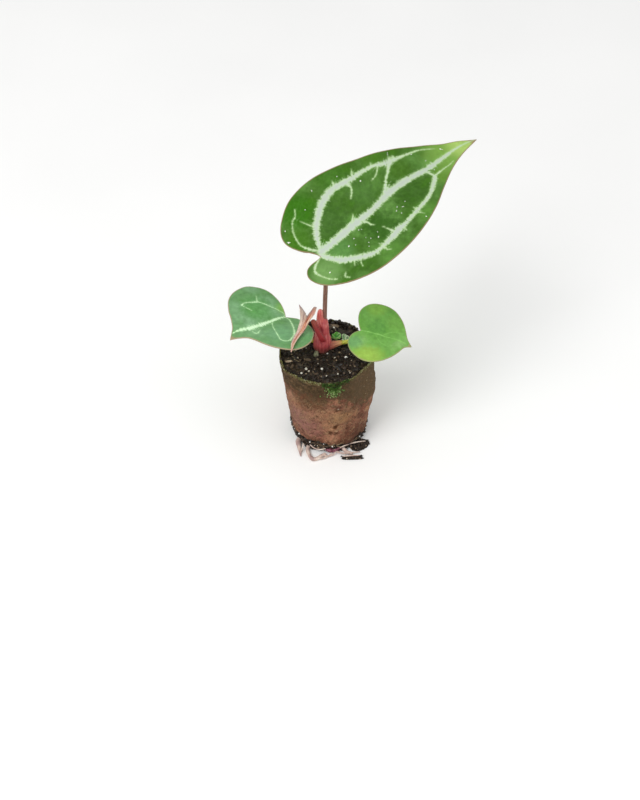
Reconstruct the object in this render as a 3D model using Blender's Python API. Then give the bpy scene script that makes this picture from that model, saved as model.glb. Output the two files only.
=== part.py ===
# Potted anthurium seedling: three velvet leaves on a red crown, growing in a paper plug of soil.
# Sizes below are in millimetres; the meshes are built in metres, +Z up.
# The origin is the centre of the plug's flat bottom, and the plug's front faces -Y.

import bpy
import bmesh
import math
import numpy as np
from mathutils import Matrix, Vector

MM = 0.001
GAP = 0.3                      # clearance between touching pieces

# Plug of soil in its paper sleeve
PLUG_HEIGHT = 46.0
PLUG_TOP_RADIUS = 20.0
PLUG_BOTTOM_RADIUS = 16.6
PLUG_TOP_SHIFT = -2.0          # the plug leans: its top centre lies 2 mm to the left
PAPER = 0.7                    # wall of the sleeve
SLEEVE_BOTTOM = 3.6            # the soil shows below the sleeve's lower edge
SOIL_SINK = 1.3                # the soil's edge lies this far below the sleeve's rim
SEAM_STEP = 0.35               # the glued overlap of the paper stands out by this much
SEAM_ANGLES = (-34.0, -4.0)    # degrees around +Z, 0 at +X
BULGE = 2.2                    # swelling of the plug's right side
BULGE_ANGLE = -8.0
BULGE_HEIGHT = 28.0
RING_SIDES = 56

# Crown, the short red stem that everything grows from: height, centre x and y, radius
CROWN_FOOT = 42.6
CROWN_RINGS = [(42.6, -3.4, 1.8, 2.8), (45.6, -3.4, 1.8, 3.3), (48.8, -3.5, 1.8, 3.4),
               (52.8, -3.4, 1.8, 3.2), (56.8, -3.0, 1.9, 2.7), (60.3, -2.9, 2.0, 2.3),
               (62.4, -2.9, 2.1, 2.0)]
HOLE_RADIUS = 3.75             # the plain hole in the soil that the crown stands in

# Leaves
BLADE = 0.8                    # blade thickness
LARGE_LEAF = dict(
    length=92.0, fold=0.22, curl=0.001, arch=0.60, heading=39.0, pitch=23.5, roll=14.0,
    pole=(-3.3, 1.2, 99.4), rays=42, rings=(0.10, 0.24, 0.38, 0.52, 0.66, 0.78, 0.90, 1.0),
    keel=0.9,
    left=[(0, 0), (-3.2, 3.6), (-6.0, 7.5), (-7.6, 13), (-5.5, 18), (0, 22.2), (6.5, 25), (15, 25.8),
          (25, 24.4), (38, 20.5), (50, 16.6), (62, 11.2), (74, 5.9), (84, 2.9), (92, 0)],
    right=[(0, 0), (-5, 0.5), (-9.5, 1.4), (-11.5, 4.6), (-10.3, 9), (-6.5, 14.5), (-1, 18.7), (7, 22.6),
           (16, 24.2), (25, 24), (36, 21.9), (47, 17.8), (58, 12), (69, 6.6), (81, 2.6), (92, 0)])
LEFT_LEAF = dict(
    length=28.5, fold=0.15, curl=0.002, arch=0.30, heading=218.0, pitch=16.0, roll=0.0,
    pole=(-18.9, 4.0, 61.7), rays=30, rings=(0.18, 0.40, 0.62, 0.82, 1.0), keel=0.5,
    left=[(0, 0), (-2.3, 1.2), (-4.6, 3.2), (-5.5, 7.5), (-4.2, 13.4), (-0.9, 17.8), (3.4, 20.9),
          (8.5, 22.1), (13, 21), (17, 16.6), (19.5, 11), (22, 4.3), (25.5, 1.3), (28.5, 0)],
    right=[(0, 0), (-2.2, 3.2), (-3.8, 8), (-4.1, 12), (-3.6, 16.4), (-1.5, 20), (3, 22.6), (7, 22.9),
           (12, 21.7), (16.3, 18.6), (19.5, 13.8), (21.6, 9), (24, 4.8), (26.6, 2), (28.5, 0)])
RIGHT_LEAF = dict(
    length=22.3, fold=0.15, curl=0.002, arch=0.30, heading=-18.0, pitch=0.0, roll=8.0,
    pole=(13.4, 2.0, 55.8), rays=28, rings=(0.18, 0.40, 0.62, 0.82, 1.0), keel=0.4,
    left=[(0, 0), (-1.9, 2.7), (-3.3, 6.5), (-3.3, 10.2), (-1.1, 13.4), (2.5, 15), (7, 15), (11, 13.6),
          (15, 10.3), (17.6, 6.5), (19.6, 2.8), (22.3, 0)],
    right=[(0, 0), (-2.6, 1.6), (-3.8, 4.6), (-3.4, 8.4), (-1, 12.2), (3.5, 15.1), (7.5, 15.6),
           (11.5, 13.8), (15.2, 10), (17.8, 5.7), (19.6, 1.8), (22.3, 0)])

# Stalks: points of the centre line with the radius there
LARGE_PETIOLE_RADIUS = 0.85
SMALL_PETIOLE_RADIUS = 0.75
OLD_STALK = [(-3.5, -2.5, 55.6, 1.15), (-4.8, -2.5, 59.4, 1.2), (-6.2, -2.6, 63.4, 1.15),
             (-7.2, -2.7, 66.2, 1.0)]
CATAPHYLL = [(-3.95, 1.65, 62.7, 1.35), (-4.1, 1.6, 64.8, 1.3), (-4.0, 1.7, 67.3, 0.85),
             (-3.75, 1.9, 69.5, 0.3)]
RIGHT_SHEATH = [(1.0, 1.2, 48.4, 2.1), (2.4, 1.2, 48.9, 1.7), (4.2, 1.2, 49.6, 1.2),
                (5.6, 1.2, 50.0, 0.85)]
AERIAL_ROOT = [(-5.9, -2.2, 49.0, 0.8), (-6.3, -2.9, 47.8, 1.0), (-6.4, -3.2, 46.6, 0.9)]

# Dried bract: its spine from the tail's end, over the left leaf, up to the fork between its horns
BRACT = 0.7
BRACT_SPINE = [(-15.8, -22.9, 67.7), (-15.1, -17.3, 67.0), (-13.7, -12.0, 65.9), (-12.1, -8.0, 65.4),
               (-10.8, -5.6, 67.2), (-9.9, -5.0, 69.6), (-9.2, -4.8, 72.4), (-9.0, -4.6, 77.0)]
BRACT_ACROSS = (0.98, -0.12, 0.15)
BRACT_ROWS = [(0, -0.4, 0.4), (3, -0.7, 0.7), (6, -0.9, 0.9), (11, -1.1, 1.1), (15, -1.4, 1.4),
              (18.5, -1.7, 1.6), (21, -2.2, 2.0), (23.5, -3.0, 2.9)]
LEFT_HORN = [(25.5, -3.4, -1.3), (27.5, -3.6, -2.5), (29.3, -3.8, -3.4)]
RIGHT_HORN = [(25.3, 1.3, 3.3), (27.0, 2.0, 3.6), (28.0, 2.3, 3.5)]

# Roots that come out from under the plug and lie on the surface. Each starts beside the soil at an
# angle around +Z, and goes on through knots of x, y, z and radius
PALE_ROOT_ANGLE = -142.0
PALE_ROOT = [(-13.6, -13.0, 1.2, 1.05), (-13.2, -16.6, 0.85, 0.8), (-12.7, -20.0, 0.3, 0.25)]
LOOPED_ROOT_ANGLE = -122.0
LOOPED_ROOT = [(-9.3, -17.2, 0.9, 0.85), (-8.5, -20.8, 0.85, 0.8), (-6.4, -22.2, 0.9, 0.85),
               (-4.2, -20.4, 0.9, 0.8), (-3.2, -18.6, 0.9, 0.7)]
WHITE_ROOT_ANGLE = -69.0
WHITE_ROOT = [(7.4, -17.0, 0.9, 0.85), (8.8, -17.7, 0.8, 0.75), (10.4, -18.2, 0.6, 0.5)]
PURPLE_ROOT = [(-94.0, 1.2, 0.9), (-88.0, 1.3, 1.15), (-82.0, 1.35, 1.2), (-76.5, 1.3, 0.9)]
CRUST_ANGLES = (-57.0, -46.0, -35.0)      # the crust's inner edge follows the soil here
CRUST_OUTLINE = [(16.6, -9.6), (17.8, -11.4), (16.2, -14.0), (13.4, -15.8), (10.6, -15.8)]
CRUST_THICKNESS = 1.8
STRIP_OUTLINE = [(5.4, -19.5), (8.4, -19.2), (11.8, -19.5), (14.6, -18.9), (14.4, -20.6), (10.0, -21.1),
                 (6.0, -20.9)]
STRIP_THICKNESS = 1.1

# Seedling: leaflets of a tiny plant beside the crown
SEEDLING_ROOT = (3.6, 7.2)
SEEDLING_LEAFLETS = [(205.0, 3.4, 1.4), (285.0, 3.6, 1.6), (15.0, 4.0, 1.4), (110.0, 3.4, 1.2)]

COLOURS = {
    "paper": ((0.23, 0.15, 0.10), 0.9), "soil": ((0.03, 0.02, 0.015), 0.95),
    "crown": ((0.40, 0.05, 0.06), 0.5), "cataphyll": ((0.50, 0.08, 0.10), 0.5),
    "old_stalk": ((0.20, 0.03, 0.02), 0.6), "bract": ((0.62, 0.34, 0.22), 0.8),
    "petiole": ((0.26, 0.13, 0.10), 0.55), "stem_green": ((0.30, 0.36, 0.04), 0.5),
    "sheath": ((0.45, 0.16, 0.09), 0.6), "large_leaf": ((0.05, 0.21, 0.02), 0.45),
    "left_leaf": ((0.15, 0.38, 0.14), 0.5), "right_leaf": ((0.13, 0.40, 0.07), 0.45),
    "root": ((0.50, 0.40, 0.33), 0.7), "root_purple": ((0.20, 0.07, 0.11), 0.7),
    "crust": ((0.05, 0.03, 0.03), 0.95), "seedling": ((0.12, 0.33, 0.05), 0.6),
}


def clear_scene():
    for old in list(bpy.data.objects):
        bpy.data.objects.remove(old, do_unlink=True)


def material(name):
    """One Principled BSDF material per colour, made the first time that it is asked for."""
    found = bpy.data.materials.get(name)
    if found:
        return found
    colour, roughness = COLOURS[name]
    made = bpy.data.materials.new(name)
    made.use_nodes = True
    shader = made.node_tree.nodes["Principled BSDF"]
    shader.inputs["Base Color"].default_value = (*colour, 1.0)
    shader.inputs["Roughness"].default_value = roughness
    shader.inputs["Metallic"].default_value = 0.0
    return made


def add_mesh(name, points, faces, colour, sharp_angle=40.0):
    """A closed body from points in millimetres, with its faces turned outward."""
    mesh = bpy.data.meshes.new(name)
    mesh.from_pydata([tuple(c * MM for c in point) for point in points], [], faces)
    work = bmesh.new()
    work.from_mesh(mesh)
    bmesh.ops.recalc_face_normals(work, faces=work.faces[:])
    work.to_mesh(mesh)
    work.free()
    mesh.shade_smooth()
    mesh.set_sharp_from_angle(angle=math.radians(sharp_angle))
    body = bpy.data.objects.new(name, mesh)
    body.data.materials.append(material(colour))
    bpy.context.scene.collection.objects.link(body)
    return body


def smooth_line(points, steps=6):
    """Catmull-Rom curve through the points, with `steps` pieces between neighbours."""
    knots = np.array(points, float)
    padded = np.vstack([2 * knots[0] - knots[1], knots, 2 * knots[-1] - knots[-2]])
    line = []
    for i in range(1, len(padded) - 2):
        a, b, c, d = padded[i - 1:i + 3]
        for t in np.arange(steps) / steps:
            bend = (2 * a - 5 * b + 4 * c - d) * t * t + (3 * b - a - 3 * c + d) * t ** 3
            line.append(0.5 * (2 * b + (c - a) * t + bend))
    line.append(knots[-1])
    return np.array(line)


def evenly(line, count):
    """The line's points at `count` equal steps along its length."""
    steps = np.linalg.norm(np.diff(line, axis=0), axis=1)
    length = np.concatenate([[0.0], np.cumsum(steps)])
    wanted = np.linspace(0.0, length[-1], count)
    return np.stack([np.interp(wanted, length, line[:, k]) for k in range(line.shape[1])], axis=1)


def add_stalk(name, knots, colour, resolution=3, count=12, straight=False):
    """A round stalk or root along knots of x, y, z and radius, as a bevelled curve."""
    line = np.array(knots, float) if straight else evenly(smooth_line(knots), count)
    curve = bpy.data.curves.new(name, "CURVE")
    curve.dimensions = "3D"
    curve.bevel_depth = MM
    curve.bevel_resolution = resolution
    curve.use_fill_caps = True
    spline = curve.splines.new("POLY")
    spline.points.add(len(line) - 1)
    for point, (x, y, z, radius) in zip(spline.points, line):
        point.co = (x * MM, y * MM, z * MM, 1.0)
        point.radius = radius
    stalk = bpy.data.objects.new(name, curve)
    curve.materials.append(material(colour))
    bpy.context.scene.collection.objects.link(stalk)
    return stalk


def plug_radius(height, angle):
    """Outer radius of the sleeve at a height and an angle in degrees, with seam, swelling and creases."""
    share = height / PLUG_HEIGHT
    radius = PLUG_BOTTOM_RADIUS + (PLUG_TOP_RADIUS - PLUG_BOTTOM_RADIUS) * share
    turn = math.radians(angle)
    creases = 0.22 * math.sin(5 * turn + 2.2 * share) + 0.14 * math.sin(11 * turn - 1.5 * share)
    off = (angle - BULGE_ANGLE + 180.0) % 360.0 - 180.0
    swell = math.exp(-(off / 26.0) ** 2 - ((height - BULGE_HEIGHT) / 12.0) ** 2)
    return radius + creases + BULGE * swell


def seam(angle):
    """1 on the overlap of the paper and 0 beside it, with soft edges."""
    off = (angle + 180.0) % 360.0 - 180.0
    start, end = SEAM_ANGLES
    rise = 1.0 / (1.0 + math.exp(-(off - start) / 1.5))
    fall = 1.0 / (1.0 + math.exp((off - end) / 1.5))
    return rise * fall


def plug_point(height, angle, inset, level=None):
    """A point `inset` inside the sleeve's outer wall, at the wall's height unless a level is given."""
    turn = math.radians(angle)
    radius = plug_radius(height, angle) - inset
    lean = PLUG_TOP_SHIFT * height / PLUG_HEIGHT
    return (lean + radius * math.cos(turn), radius * math.sin(turn), height if level is None else level)


def ring_angles():
    return [360.0 * k / RING_SIDES for k in range(RING_SIDES)]


def loft(rings, closed_loop=False):
    """Faces between neighbouring rings of equal size; the ends are closed unless the rings form a loop."""
    size = len(rings[0])
    points = [point for ring in rings for point in ring]
    faces = []
    pairs = len(rings) if closed_loop else len(rings) - 1
    for r in range(pairs):
        low = r * size
        high = ((r + 1) % len(rings)) * size
        for k in range(size):
            n = (k + 1) % size
            faces.append((low + k, low + n, high + n, high + k))
    if not closed_loop:
        faces.append(tuple(range(size - 1, -1, -1)))
        faces.append(tuple(range(len(points) - size, len(points))))
    return points, faces


def triangulated(faces):
    """Quads split the same way everywhere, so that two like surfaces stay alike."""
    split = []
    for face in faces:
        if len(face) == 4:
            a, b, c, d = face
            split += [(a, b, c), (a, c, d)]
        else:
            split.append(face)
    return split


def add_sleeve():
    """The paper wrap: an open tapered tube with a torn, slightly uneven rim and a glued seam."""
    def rim(angle):
        turn = math.radians(angle)
        return PLUG_HEIGHT + 0.3 * math.sin(3 * turn + 0.5) + 0.2 * math.sin(8 * turn)

    def wall(inset, share):
        ring = []
        for angle in ring_angles():
            height = SLEEVE_BOTTOM + (rim(angle) - SLEEVE_BOTTOM) * share
            step = 0.0 if inset else -SEAM_STEP * seam(angle)
            ring.append(plug_point(height, angle, inset + step))
        return ring

    shares = [0.0, 0.18, 0.36, 0.5, 0.64, 0.82, 1.0]
    outside = [wall(0.0, share) for share in shares]
    inside = [wall(PAPER, share) for share in reversed(shares)]
    points, faces = loft(outside + inside, closed_loop=True)
    add_mesh("sleeve", points, triangulated(faces), "paper", 60.0)


def soil_lumps(x, y):
    """Height of the crumbly soil surface above its mean."""
    coarse = 0.35 * math.sin(0.62 * x + 1.3) * math.sin(0.55 * y + 0.4)
    fine = 0.25 * math.sin(1.7 * x + 0.9 * y) * math.cos(1.3 * y - 0.8 * x)
    return coarse + fine


def add_soil():
    """The soil plug: flat below, lumpy on top, with a plain hole for the crown."""
    inset = PAPER + GAP
    crown_x, crown_y = CROWN_RINGS[1][1:3]
    edge = PLUG_HEIGHT - SOIL_SINK

    def bowl(share):
        """Ring on the surface, from the hole's edge at 0 to the sleeve at 1."""
        ring = []
        for angle in ring_angles():
            turn = math.radians(angle)
            x0 = crown_x + HOLE_RADIUS * math.cos(turn)
            y0 = crown_y + HOLE_RADIUS * math.sin(turn)
            x1, y1, _ = plug_point(edge, angle, inset)
            x = x0 + (x1 - x0) * share
            y = y0 + (y1 - y0) * share
            dome = 1.2 * (1.0 - share ** 2)
            lumps = soil_lumps(x, y) * min(1.0, 4 * share * (1.2 - share))
            ring.append((x, y, edge + dome + lumps))
        return ring

    def hole(level):
        return [(crown_x + HOLE_RADIUS * math.cos(math.radians(a)),
                 crown_y + HOLE_RADIUS * math.sin(math.radians(a)), level) for a in ring_angles()]

    def side(height):
        return [plug_point(height, angle, inset) for angle in ring_angles()]

    rings = [hole(CROWN_FOOT - GAP)]
    rings += [bowl(share) for share in (0.0, 0.12, 0.26, 0.4, 0.55, 0.7, 0.85, 1.0)]
    rings += [side(height) for height in (40.0, 34.0, 28.0, 22.0, 14.0, 7.0)]
    rings.append([plug_point(0.8, angle, inset) for angle in ring_angles()])
    rings.append([plug_point(0.0, angle, inset + 0.6) for angle in ring_angles()])
    points, faces = loft(rings)
    add_mesh("soil", points, triangulated(faces), "soil", 60.0)


def leaf_axes(leaf):
    """World directions of the blade's length, its left side and its upper face."""
    heading, pitch, roll = (math.radians(leaf[key]) for key in ("heading", "pitch", "roll"))
    turn = np.array(Matrix.Rotation(heading, 3, "Z"))
    lift = np.array(Matrix.Rotation(-pitch, 3, "Y"))
    tilt = np.array(Matrix.Rotation(roll, 3, "X"))
    axes = turn @ lift @ tilt
    return axes[:, 0], axes[:, 1], axes[:, 2]


def leaf_point(leaf, u, v):
    """A point of the blade's middle surface, u along the midrib and v to its left."""
    along, left, up = leaf_axes(leaf)
    trough = leaf["fold"] * (math.sqrt(v * v + 9.0) - 3.0) - leaf["curl"] * v * v
    bend = leaf["arch"] * u / leaf["length"]
    reach = leaf["length"] * math.sin(bend) / leaf["arch"] + trough * math.sin(bend)
    rise = -leaf["length"] * (1.0 - math.cos(bend)) / leaf["arch"] + trough * math.cos(bend)
    return np.array(leaf["pole"]) + along * reach + left * v + up * rise


def leaf_outline(leaf):
    """The margin from the cleft round the left lobe, the tip and the right lobe, back to the cleft."""
    half = leaf["rays"] // 2
    left = evenly(smooth_line(leaf["left"]), half + 2)[1:]
    right = evenly(smooth_line(leaf["right"]), half + 2)[1:-1] * np.array([1.0, -1.0])
    return np.vstack([left, right[::-1]])


def add_leaf(name, leaf, colour):
    """A heart-shaped blade: rays from the petiole to the margin, the same on both faces."""
    up = leaf_axes(leaf)[2]
    flat = [(0.0, 0.0)]
    margin = leaf_outline(leaf)
    for share in leaf["rings"]:
        flat += [tuple(share * point) for point in margin]
    size = len(margin)
    upper = [leaf_point(leaf, u, v) + up * BLADE / 2 for u, v in flat]
    lower = []
    for u, v in flat:
        fade = max(0.0, 1 - u / leaf["length"]) * min(1.0, max(u, 0) / 4)
        keel = leaf["keel"] * math.exp(-(v / 1.6) ** 2) * fade
        lower.append(leaf_point(leaf, u, v) - up * (BLADE / 2 + keel))
    top = []
    for k in range(size - 1):
        top.append((0, 1 + k + 1, 1 + k))
        for ring in range(len(leaf["rings"]) - 1):
            a = 1 + ring * size + k
            b = a + size
            top += [(a, a + 1, b + 1), (a, b + 1, b)]
    solid_faces = thickened(top, len(flat))
    add_mesh(name, [tuple(point) for point in upper + lower], solid_faces, colour, 60.0)


def thickened(top, count):
    """Faces of a closed sheet: the top faces, their copies below, and the wall round the open edge."""
    faces = list(top)
    faces += [tuple(count + k for k in reversed(face)) for face in top]
    used = set()
    for face in top:
        for k in range(len(face)):
            used.add((face[k], face[(k + 1) % len(face)]))
    for a, b in sorted(used):
        if (b, a) not in used:
            faces += [(b, a, count + a), (b, count + a, count + b)]
    return faces


def under_leaf(leaf, below, inward=0.8):
    """A point straight below the petiole's end of the blade."""
    up = leaf_axes(leaf)[2]
    return leaf_point(leaf, inward, 0.0) - up * (BLADE / 2 + below)


def add_petioles():
    """The three leaf stalks, each ending square under its blade."""
    def knots(points, leaf, radius):
        end = [(*under_leaf(leaf, GAP + 0.35 + away), radius) for away in (2.5, 0.0)]
        return [(*point, radius) for point in points] + end

    large = knots([(-2.2, 2.2, 62.7), (-2.0, 2.0, 74.0), (-1.8, 1.6, 84.0), (-2.3, 1.2, 93.0)],
                  LARGE_LEAF, LARGE_PETIOLE_RADIUS)
    add_stalk("petiole_large", large, "petiole", count=16)
    left = knots([(-7.8, 2.3, 50.0), (-11.0, 2.9, 51.8), (-15.0, 3.5, 55.2)],
                 LEFT_LEAF, SMALL_PETIOLE_RADIUS)
    add_stalk("petiole_left", left, "stem_green")
    right = knots([(6.1, 1.2, 50.1), (8.2, 1.3, 50.5), (10.8, 1.5, 51.5)],
                  RIGHT_LEAF, SMALL_PETIOLE_RADIUS)
    add_stalk("petiole_right", right, "stem_green")


def add_crown():
    """The stem base in its hole, with the sheath, the old stalk and the stub of an aerial root on it."""
    rings = [(x, y, z, radius) for z, x, y, radius in CROWN_RINGS]
    add_stalk("crown", rings, "crown", resolution=5, count=13)
    sheath = add_stalk("cataphyll", CATAPHYLL, "cataphyll", resolution=4, count=8)
    groove = add_stalk("groove", [(-2.25, 2.2, 61.0, LARGE_PETIOLE_RADIUS + GAP),
                                  (-2.05, 2.05, 74.0, LARGE_PETIOLE_RADIUS + GAP)], "petiole", straight=True)
    sheath, groove = as_mesh(sheath), as_mesh(groove)
    groove.hide_render = True
    groove.display_type = "WIRE"
    cut = sheath.modifiers.new("petiole groove", "BOOLEAN")
    cut.operation = "DIFFERENCE"
    cut.object = groove
    cut.solver = "EXACT"
    add_stalk("old_stalk", OLD_STALK, "old_stalk", resolution=4, count=7)
    add_stalk("sheath_right", RIGHT_SHEATH, "sheath", resolution=4, count=7)
    add_stalk("aerial_root", AERIAL_ROOT, "root", count=5)


def as_mesh(curve_object):
    """The same stalk as a mesh object, which a Boolean can use."""
    graph = bpy.context.evaluated_depsgraph_get()
    mesh = bpy.data.meshes.new_from_object(curve_object.evaluated_get(graph))
    name = curve_object.name
    bpy.data.objects.remove(curve_object, do_unlink=True)
    body = bpy.data.objects.new(name, mesh)
    bpy.context.scene.collection.objects.link(body)
    weld = bmesh.new()
    weld.from_mesh(mesh)
    bmesh.ops.remove_doubles(weld, verts=weld.verts[:], dist=0.02 * MM)
    bmesh.ops.recalc_face_normals(weld, faces=weld.faces[:])
    weld.to_mesh(mesh)
    weld.free()
    return body


def add_bract():
    """The dried, forked bract: a thin sheet whose tail lies over the left leaf."""
    spine = smooth_line(BRACT_SPINE, 10)
    lengths = np.concatenate([[0.0], np.cumsum(np.linalg.norm(np.diff(spine, axis=0), axis=1))])
    across = np.array(Vector(BRACT_ACROSS).normalized())

    def place(b, a):
        middle = np.array([np.interp(b, lengths, spine[:, k]) for k in range(3)])
        return middle + across * a

    flat = []
    for b, left, right in BRACT_ROWS:
        flat += [(b, left), (b - 0.6 if b == BRACT_ROWS[-1][0] else b, (left + right) / 2), (b, right)]
    top = []
    for row in range(len(BRACT_ROWS) - 1):
        for k in (0, 1):
            a = 3 * row + k
            top += [(a, a + 1, a + 4), (a, a + 4, a + 3)]
    last = 3 * (len(BRACT_ROWS) - 1)
    for horn, start in ((LEFT_HORN, last), (RIGHT_HORN, last + 1)):
        low = (start, start + 1)
        for b, left, right in horn:
            high = (len(flat), len(flat) + 1)
            flat += [(b, left), (b, right)]
            top += [(low[0], low[1], high[1]), (low[0], high[1], high[0])]
            low = high
    facing = np.array((0.05, -0.72, 0.69))
    front = [tuple(place(b, a) + facing * BRACT / 2) for b, a in flat]
    back = [tuple(place(b, a) - facing * BRACT / 2) for b, a in flat]
    add_mesh("dry_bract", front + back, thickened(top, len(flat)), "bract", 30.0)


def add_slab(name, outline, thickness, colour):
    """A flat, lumpy scrap that lies on the surface, rounded off towards its upper face."""
    edge = evenly(smooth_line(outline + [outline[0]], 4), 25)[:-1]
    middle = edge.mean(axis=0)
    rings = []
    for level, share in ((0.0, 0.93), (0.3, 1.0), (0.75, 0.94), (1.0, 0.7)):
        ring = []
        for k, (x, y) in enumerate(edge):
            bump = 0.12 * math.sin(2.4 * k) * level
            px, py = middle + (np.array((x, y)) - middle) * share
            ring.append((px, py, thickness * level * (1.0 + bump)))
        rings.append(ring)
    points, faces = loft(rings)
    points.append((*middle, thickness))
    top = faces.pop()
    faces += [(top[k], top[(k + 1) % len(top)], len(points) - 1) for k in range(len(top))]
    add_mesh(name, points, triangulated(faces), colour)


def beside_soil(angle, height, away):
    """A point `away` outside the soil plug's side, at a height and an angle in degrees."""
    return plug_point(height, angle, PAPER + GAP - away)


def add_roots():
    """Roots and scraps of crust from under the plug, lying on the surface in front of it."""
    clear = GAP + 0.05
    pale = [(*beside_soil(PALE_ROOT_ANGLE, 1.3, clear + 0.2), 1.0)] + PALE_ROOT
    add_stalk("root_pale", pale, "root", count=10)
    looped = [(*beside_soil(LOOPED_ROOT_ANGLE, 1.1, clear + 0.2), 0.85)] + LOOPED_ROOT
    add_stalk("root_looped", looped, "root", count=26)
    white = [(*beside_soil(WHITE_ROOT_ANGLE, 1.2, clear + 0.4), 0.8)] + WHITE_ROOT
    add_stalk("root_white", white, "root", count=9)
    purple = [(*beside_soil(angle, height, clear + radius), radius) for angle, height, radius in PURPLE_ROOT]
    add_stalk("root_purple", purple, "root_purple", count=9)
    inner = [beside_soil(angle, CRUST_THICKNESS / 2, clear)[:2] for angle in CRUST_ANGLES]
    add_slab("soil_crust", inner + CRUST_OUTLINE, CRUST_THICKNESS, "crust")
    add_slab("crust_strip", STRIP_OUTLINE, STRIP_THICKNESS, "crust")


def add_seedling():
    """A tiny plant beside the crown: leaflets on one short stem, joined into a single body."""
    x0, y0 = SEEDLING_ROOT
    foot = PLUG_HEIGHT + 0.5
    bodies = [as_mesh(add_stalk("seedling", [(x0, y0, foot, 0.7), (x0, y0, foot + 2.2, 0.6)], "seedling",
                                straight=True))]
    for angle, length, half_width in SEEDLING_LEAFLETS:
        turn = math.radians(angle)
        leaflet_points = []
        for share, width, rise in ((-0.08, 0.3, 1.4), (0.25, 0.8, 1.9), (0.55, 1.0, 2.3), (0.82, 0.7, 2.2),
                                   (1.0, 0.25, 1.9)):
            centre_x = x0 + math.cos(turn) * length * share
            centre_y = y0 + math.sin(turn) * length * share
            for side in (-1, 1):
                leaflet_points.append((centre_x - math.sin(turn) * half_width * width * side,
                                       centre_y + math.cos(turn) * half_width * width * side, foot + rise))
        top = []
        for row in range(4):
            a = 2 * row
            top += [(a, a + 2, a + 3), (a, a + 3, a + 1)]
        under = [(x, y, z - 0.7) for x, y, z in leaflet_points]
        sheet = thickened(top, len(leaflet_points))
        bodies.append(add_mesh("leaflet", leaflet_points + under, sheet, "seedling"))
    stem = bodies[0]
    for leaflet in bodies[1:]:
        join = stem.modifiers.new("leaflet", "BOOLEAN")
        join.operation = "UNION"
        join.solver = "EXACT"
        join.object = leaflet
    graph = bpy.context.evaluated_depsgraph_get()
    whole = bpy.data.meshes.new_from_object(stem.evaluated_get(graph))
    stem.modifiers.clear()
    stem.data = whole
    for leaflet in bodies[1:]:
        bpy.data.objects.remove(leaflet, do_unlink=True)


clear_scene()
add_sleeve()
add_soil()
add_crown()
add_petioles()
add_leaf("leaf_large", LARGE_LEAF, "large_leaf")
add_leaf("leaf_left", LEFT_LEAF, "left_leaf")
add_leaf("leaf_right", RIGHT_LEAF, "right_leaf")
add_bract()
add_roots()
add_seedling()
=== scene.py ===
import math
import random

import bpy
import numpy as np
from mathutils import Matrix, Vector, noise


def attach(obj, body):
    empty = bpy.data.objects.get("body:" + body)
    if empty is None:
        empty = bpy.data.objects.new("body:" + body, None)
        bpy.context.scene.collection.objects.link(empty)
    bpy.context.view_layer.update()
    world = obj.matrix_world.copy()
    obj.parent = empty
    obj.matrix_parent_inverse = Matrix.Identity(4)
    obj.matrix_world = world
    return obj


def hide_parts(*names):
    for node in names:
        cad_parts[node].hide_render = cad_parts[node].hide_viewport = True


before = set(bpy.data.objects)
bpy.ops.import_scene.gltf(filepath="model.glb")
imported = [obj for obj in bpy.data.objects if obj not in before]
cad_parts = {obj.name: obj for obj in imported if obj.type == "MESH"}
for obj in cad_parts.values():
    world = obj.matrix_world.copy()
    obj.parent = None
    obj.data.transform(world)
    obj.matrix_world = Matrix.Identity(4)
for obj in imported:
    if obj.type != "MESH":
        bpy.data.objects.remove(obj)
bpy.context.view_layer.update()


# Soil plug
# A block of wet peat with fine bark and coir, pressed while loose, that fills the sleeve and shows below
# its lower edge. Its top is heaped a little round the stem and broken into crumbs. Sizes are millimetres.
MM = 0.001
PLUG_HEIGHT = 46.0
PLUG_TOP_RADIUS = 20.0
PLUG_FOOT_RADIUS = 16.6
PLUG_LEAN = -2.0               # the plug's top centre lies this far along X
BULGE = 2.2
BULGE_ANGLE = -8.0
BULGE_HEIGHT = 28.0
PAPER = 0.7
SOIL_EDGE = 44.7               # height of the soil where it meets the paper
SOIL_DOME = 1.2
STEM_PLACE = (-3.4, 1.8)       # the stem's centre, which the soil is heaped round
TOP_END, SIDE_END = 0.55, 0.92    # shares of the skin that are top and side; the rest is the flat foot
SLEEVE_BOTTOM = 4.6


def plug_wall(height, angle, inset):
    """Points `inset` inside the sleeve's outer wall, at heights and at angles in degrees round +Z."""
    share = height / PLUG_HEIGHT
    turn = np.radians(angle)
    off = (angle - BULGE_ANGLE + 180.0) % 360.0 - 180.0
    swelling = BULGE * np.exp(-(off / 26.0) ** 2 - ((height - BULGE_HEIGHT) / 12.0) ** 2)
    creases = 0.22 * np.sin(5 * turn + 2.2 * share) + 0.14 * np.sin(11 * turn - 1.5 * share)
    radius = PLUG_FOOT_RADIUS + (PLUG_TOP_RADIUS - PLUG_FOOT_RADIUS) * share + creases + swelling - inset
    across = PLUG_LEAN * share + radius * np.cos(turn)
    return np.stack(np.broadcast_arrays(across, radius * np.sin(turn), height), axis=-1)


def torn_edge(angle):
    """Height of the paper's torn lower edge, which is higher at the front left."""
    front_left = 1.0 / (1.0 + np.exp(-(angle + 152.0) / 3.0)) / (1.0 + np.exp((angle + 96.0) / 2.5))
    left = np.exp(-((angle + 162.0) / 9.0) ** 2)
    turn = np.radians(angle)
    tears = 0.3 * np.sin(7 * turn) + 0.2 * np.sin(31 * turn + 2.0)
    return SLEEVE_BOTTOM + 1.9 * front_left + 6.5 * left + tears


def roughness_at(points, size, octaves=3, seed=0.0):
    """Fractal noise from about -1 to 1 at each point, with lumps of the given size."""
    shift = Vector((seed, 0.0, 0.0))
    return np.array([noise.fractal(Vector(p) / size + shift, 1.0, 2.0, octaves) for p in points])


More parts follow.
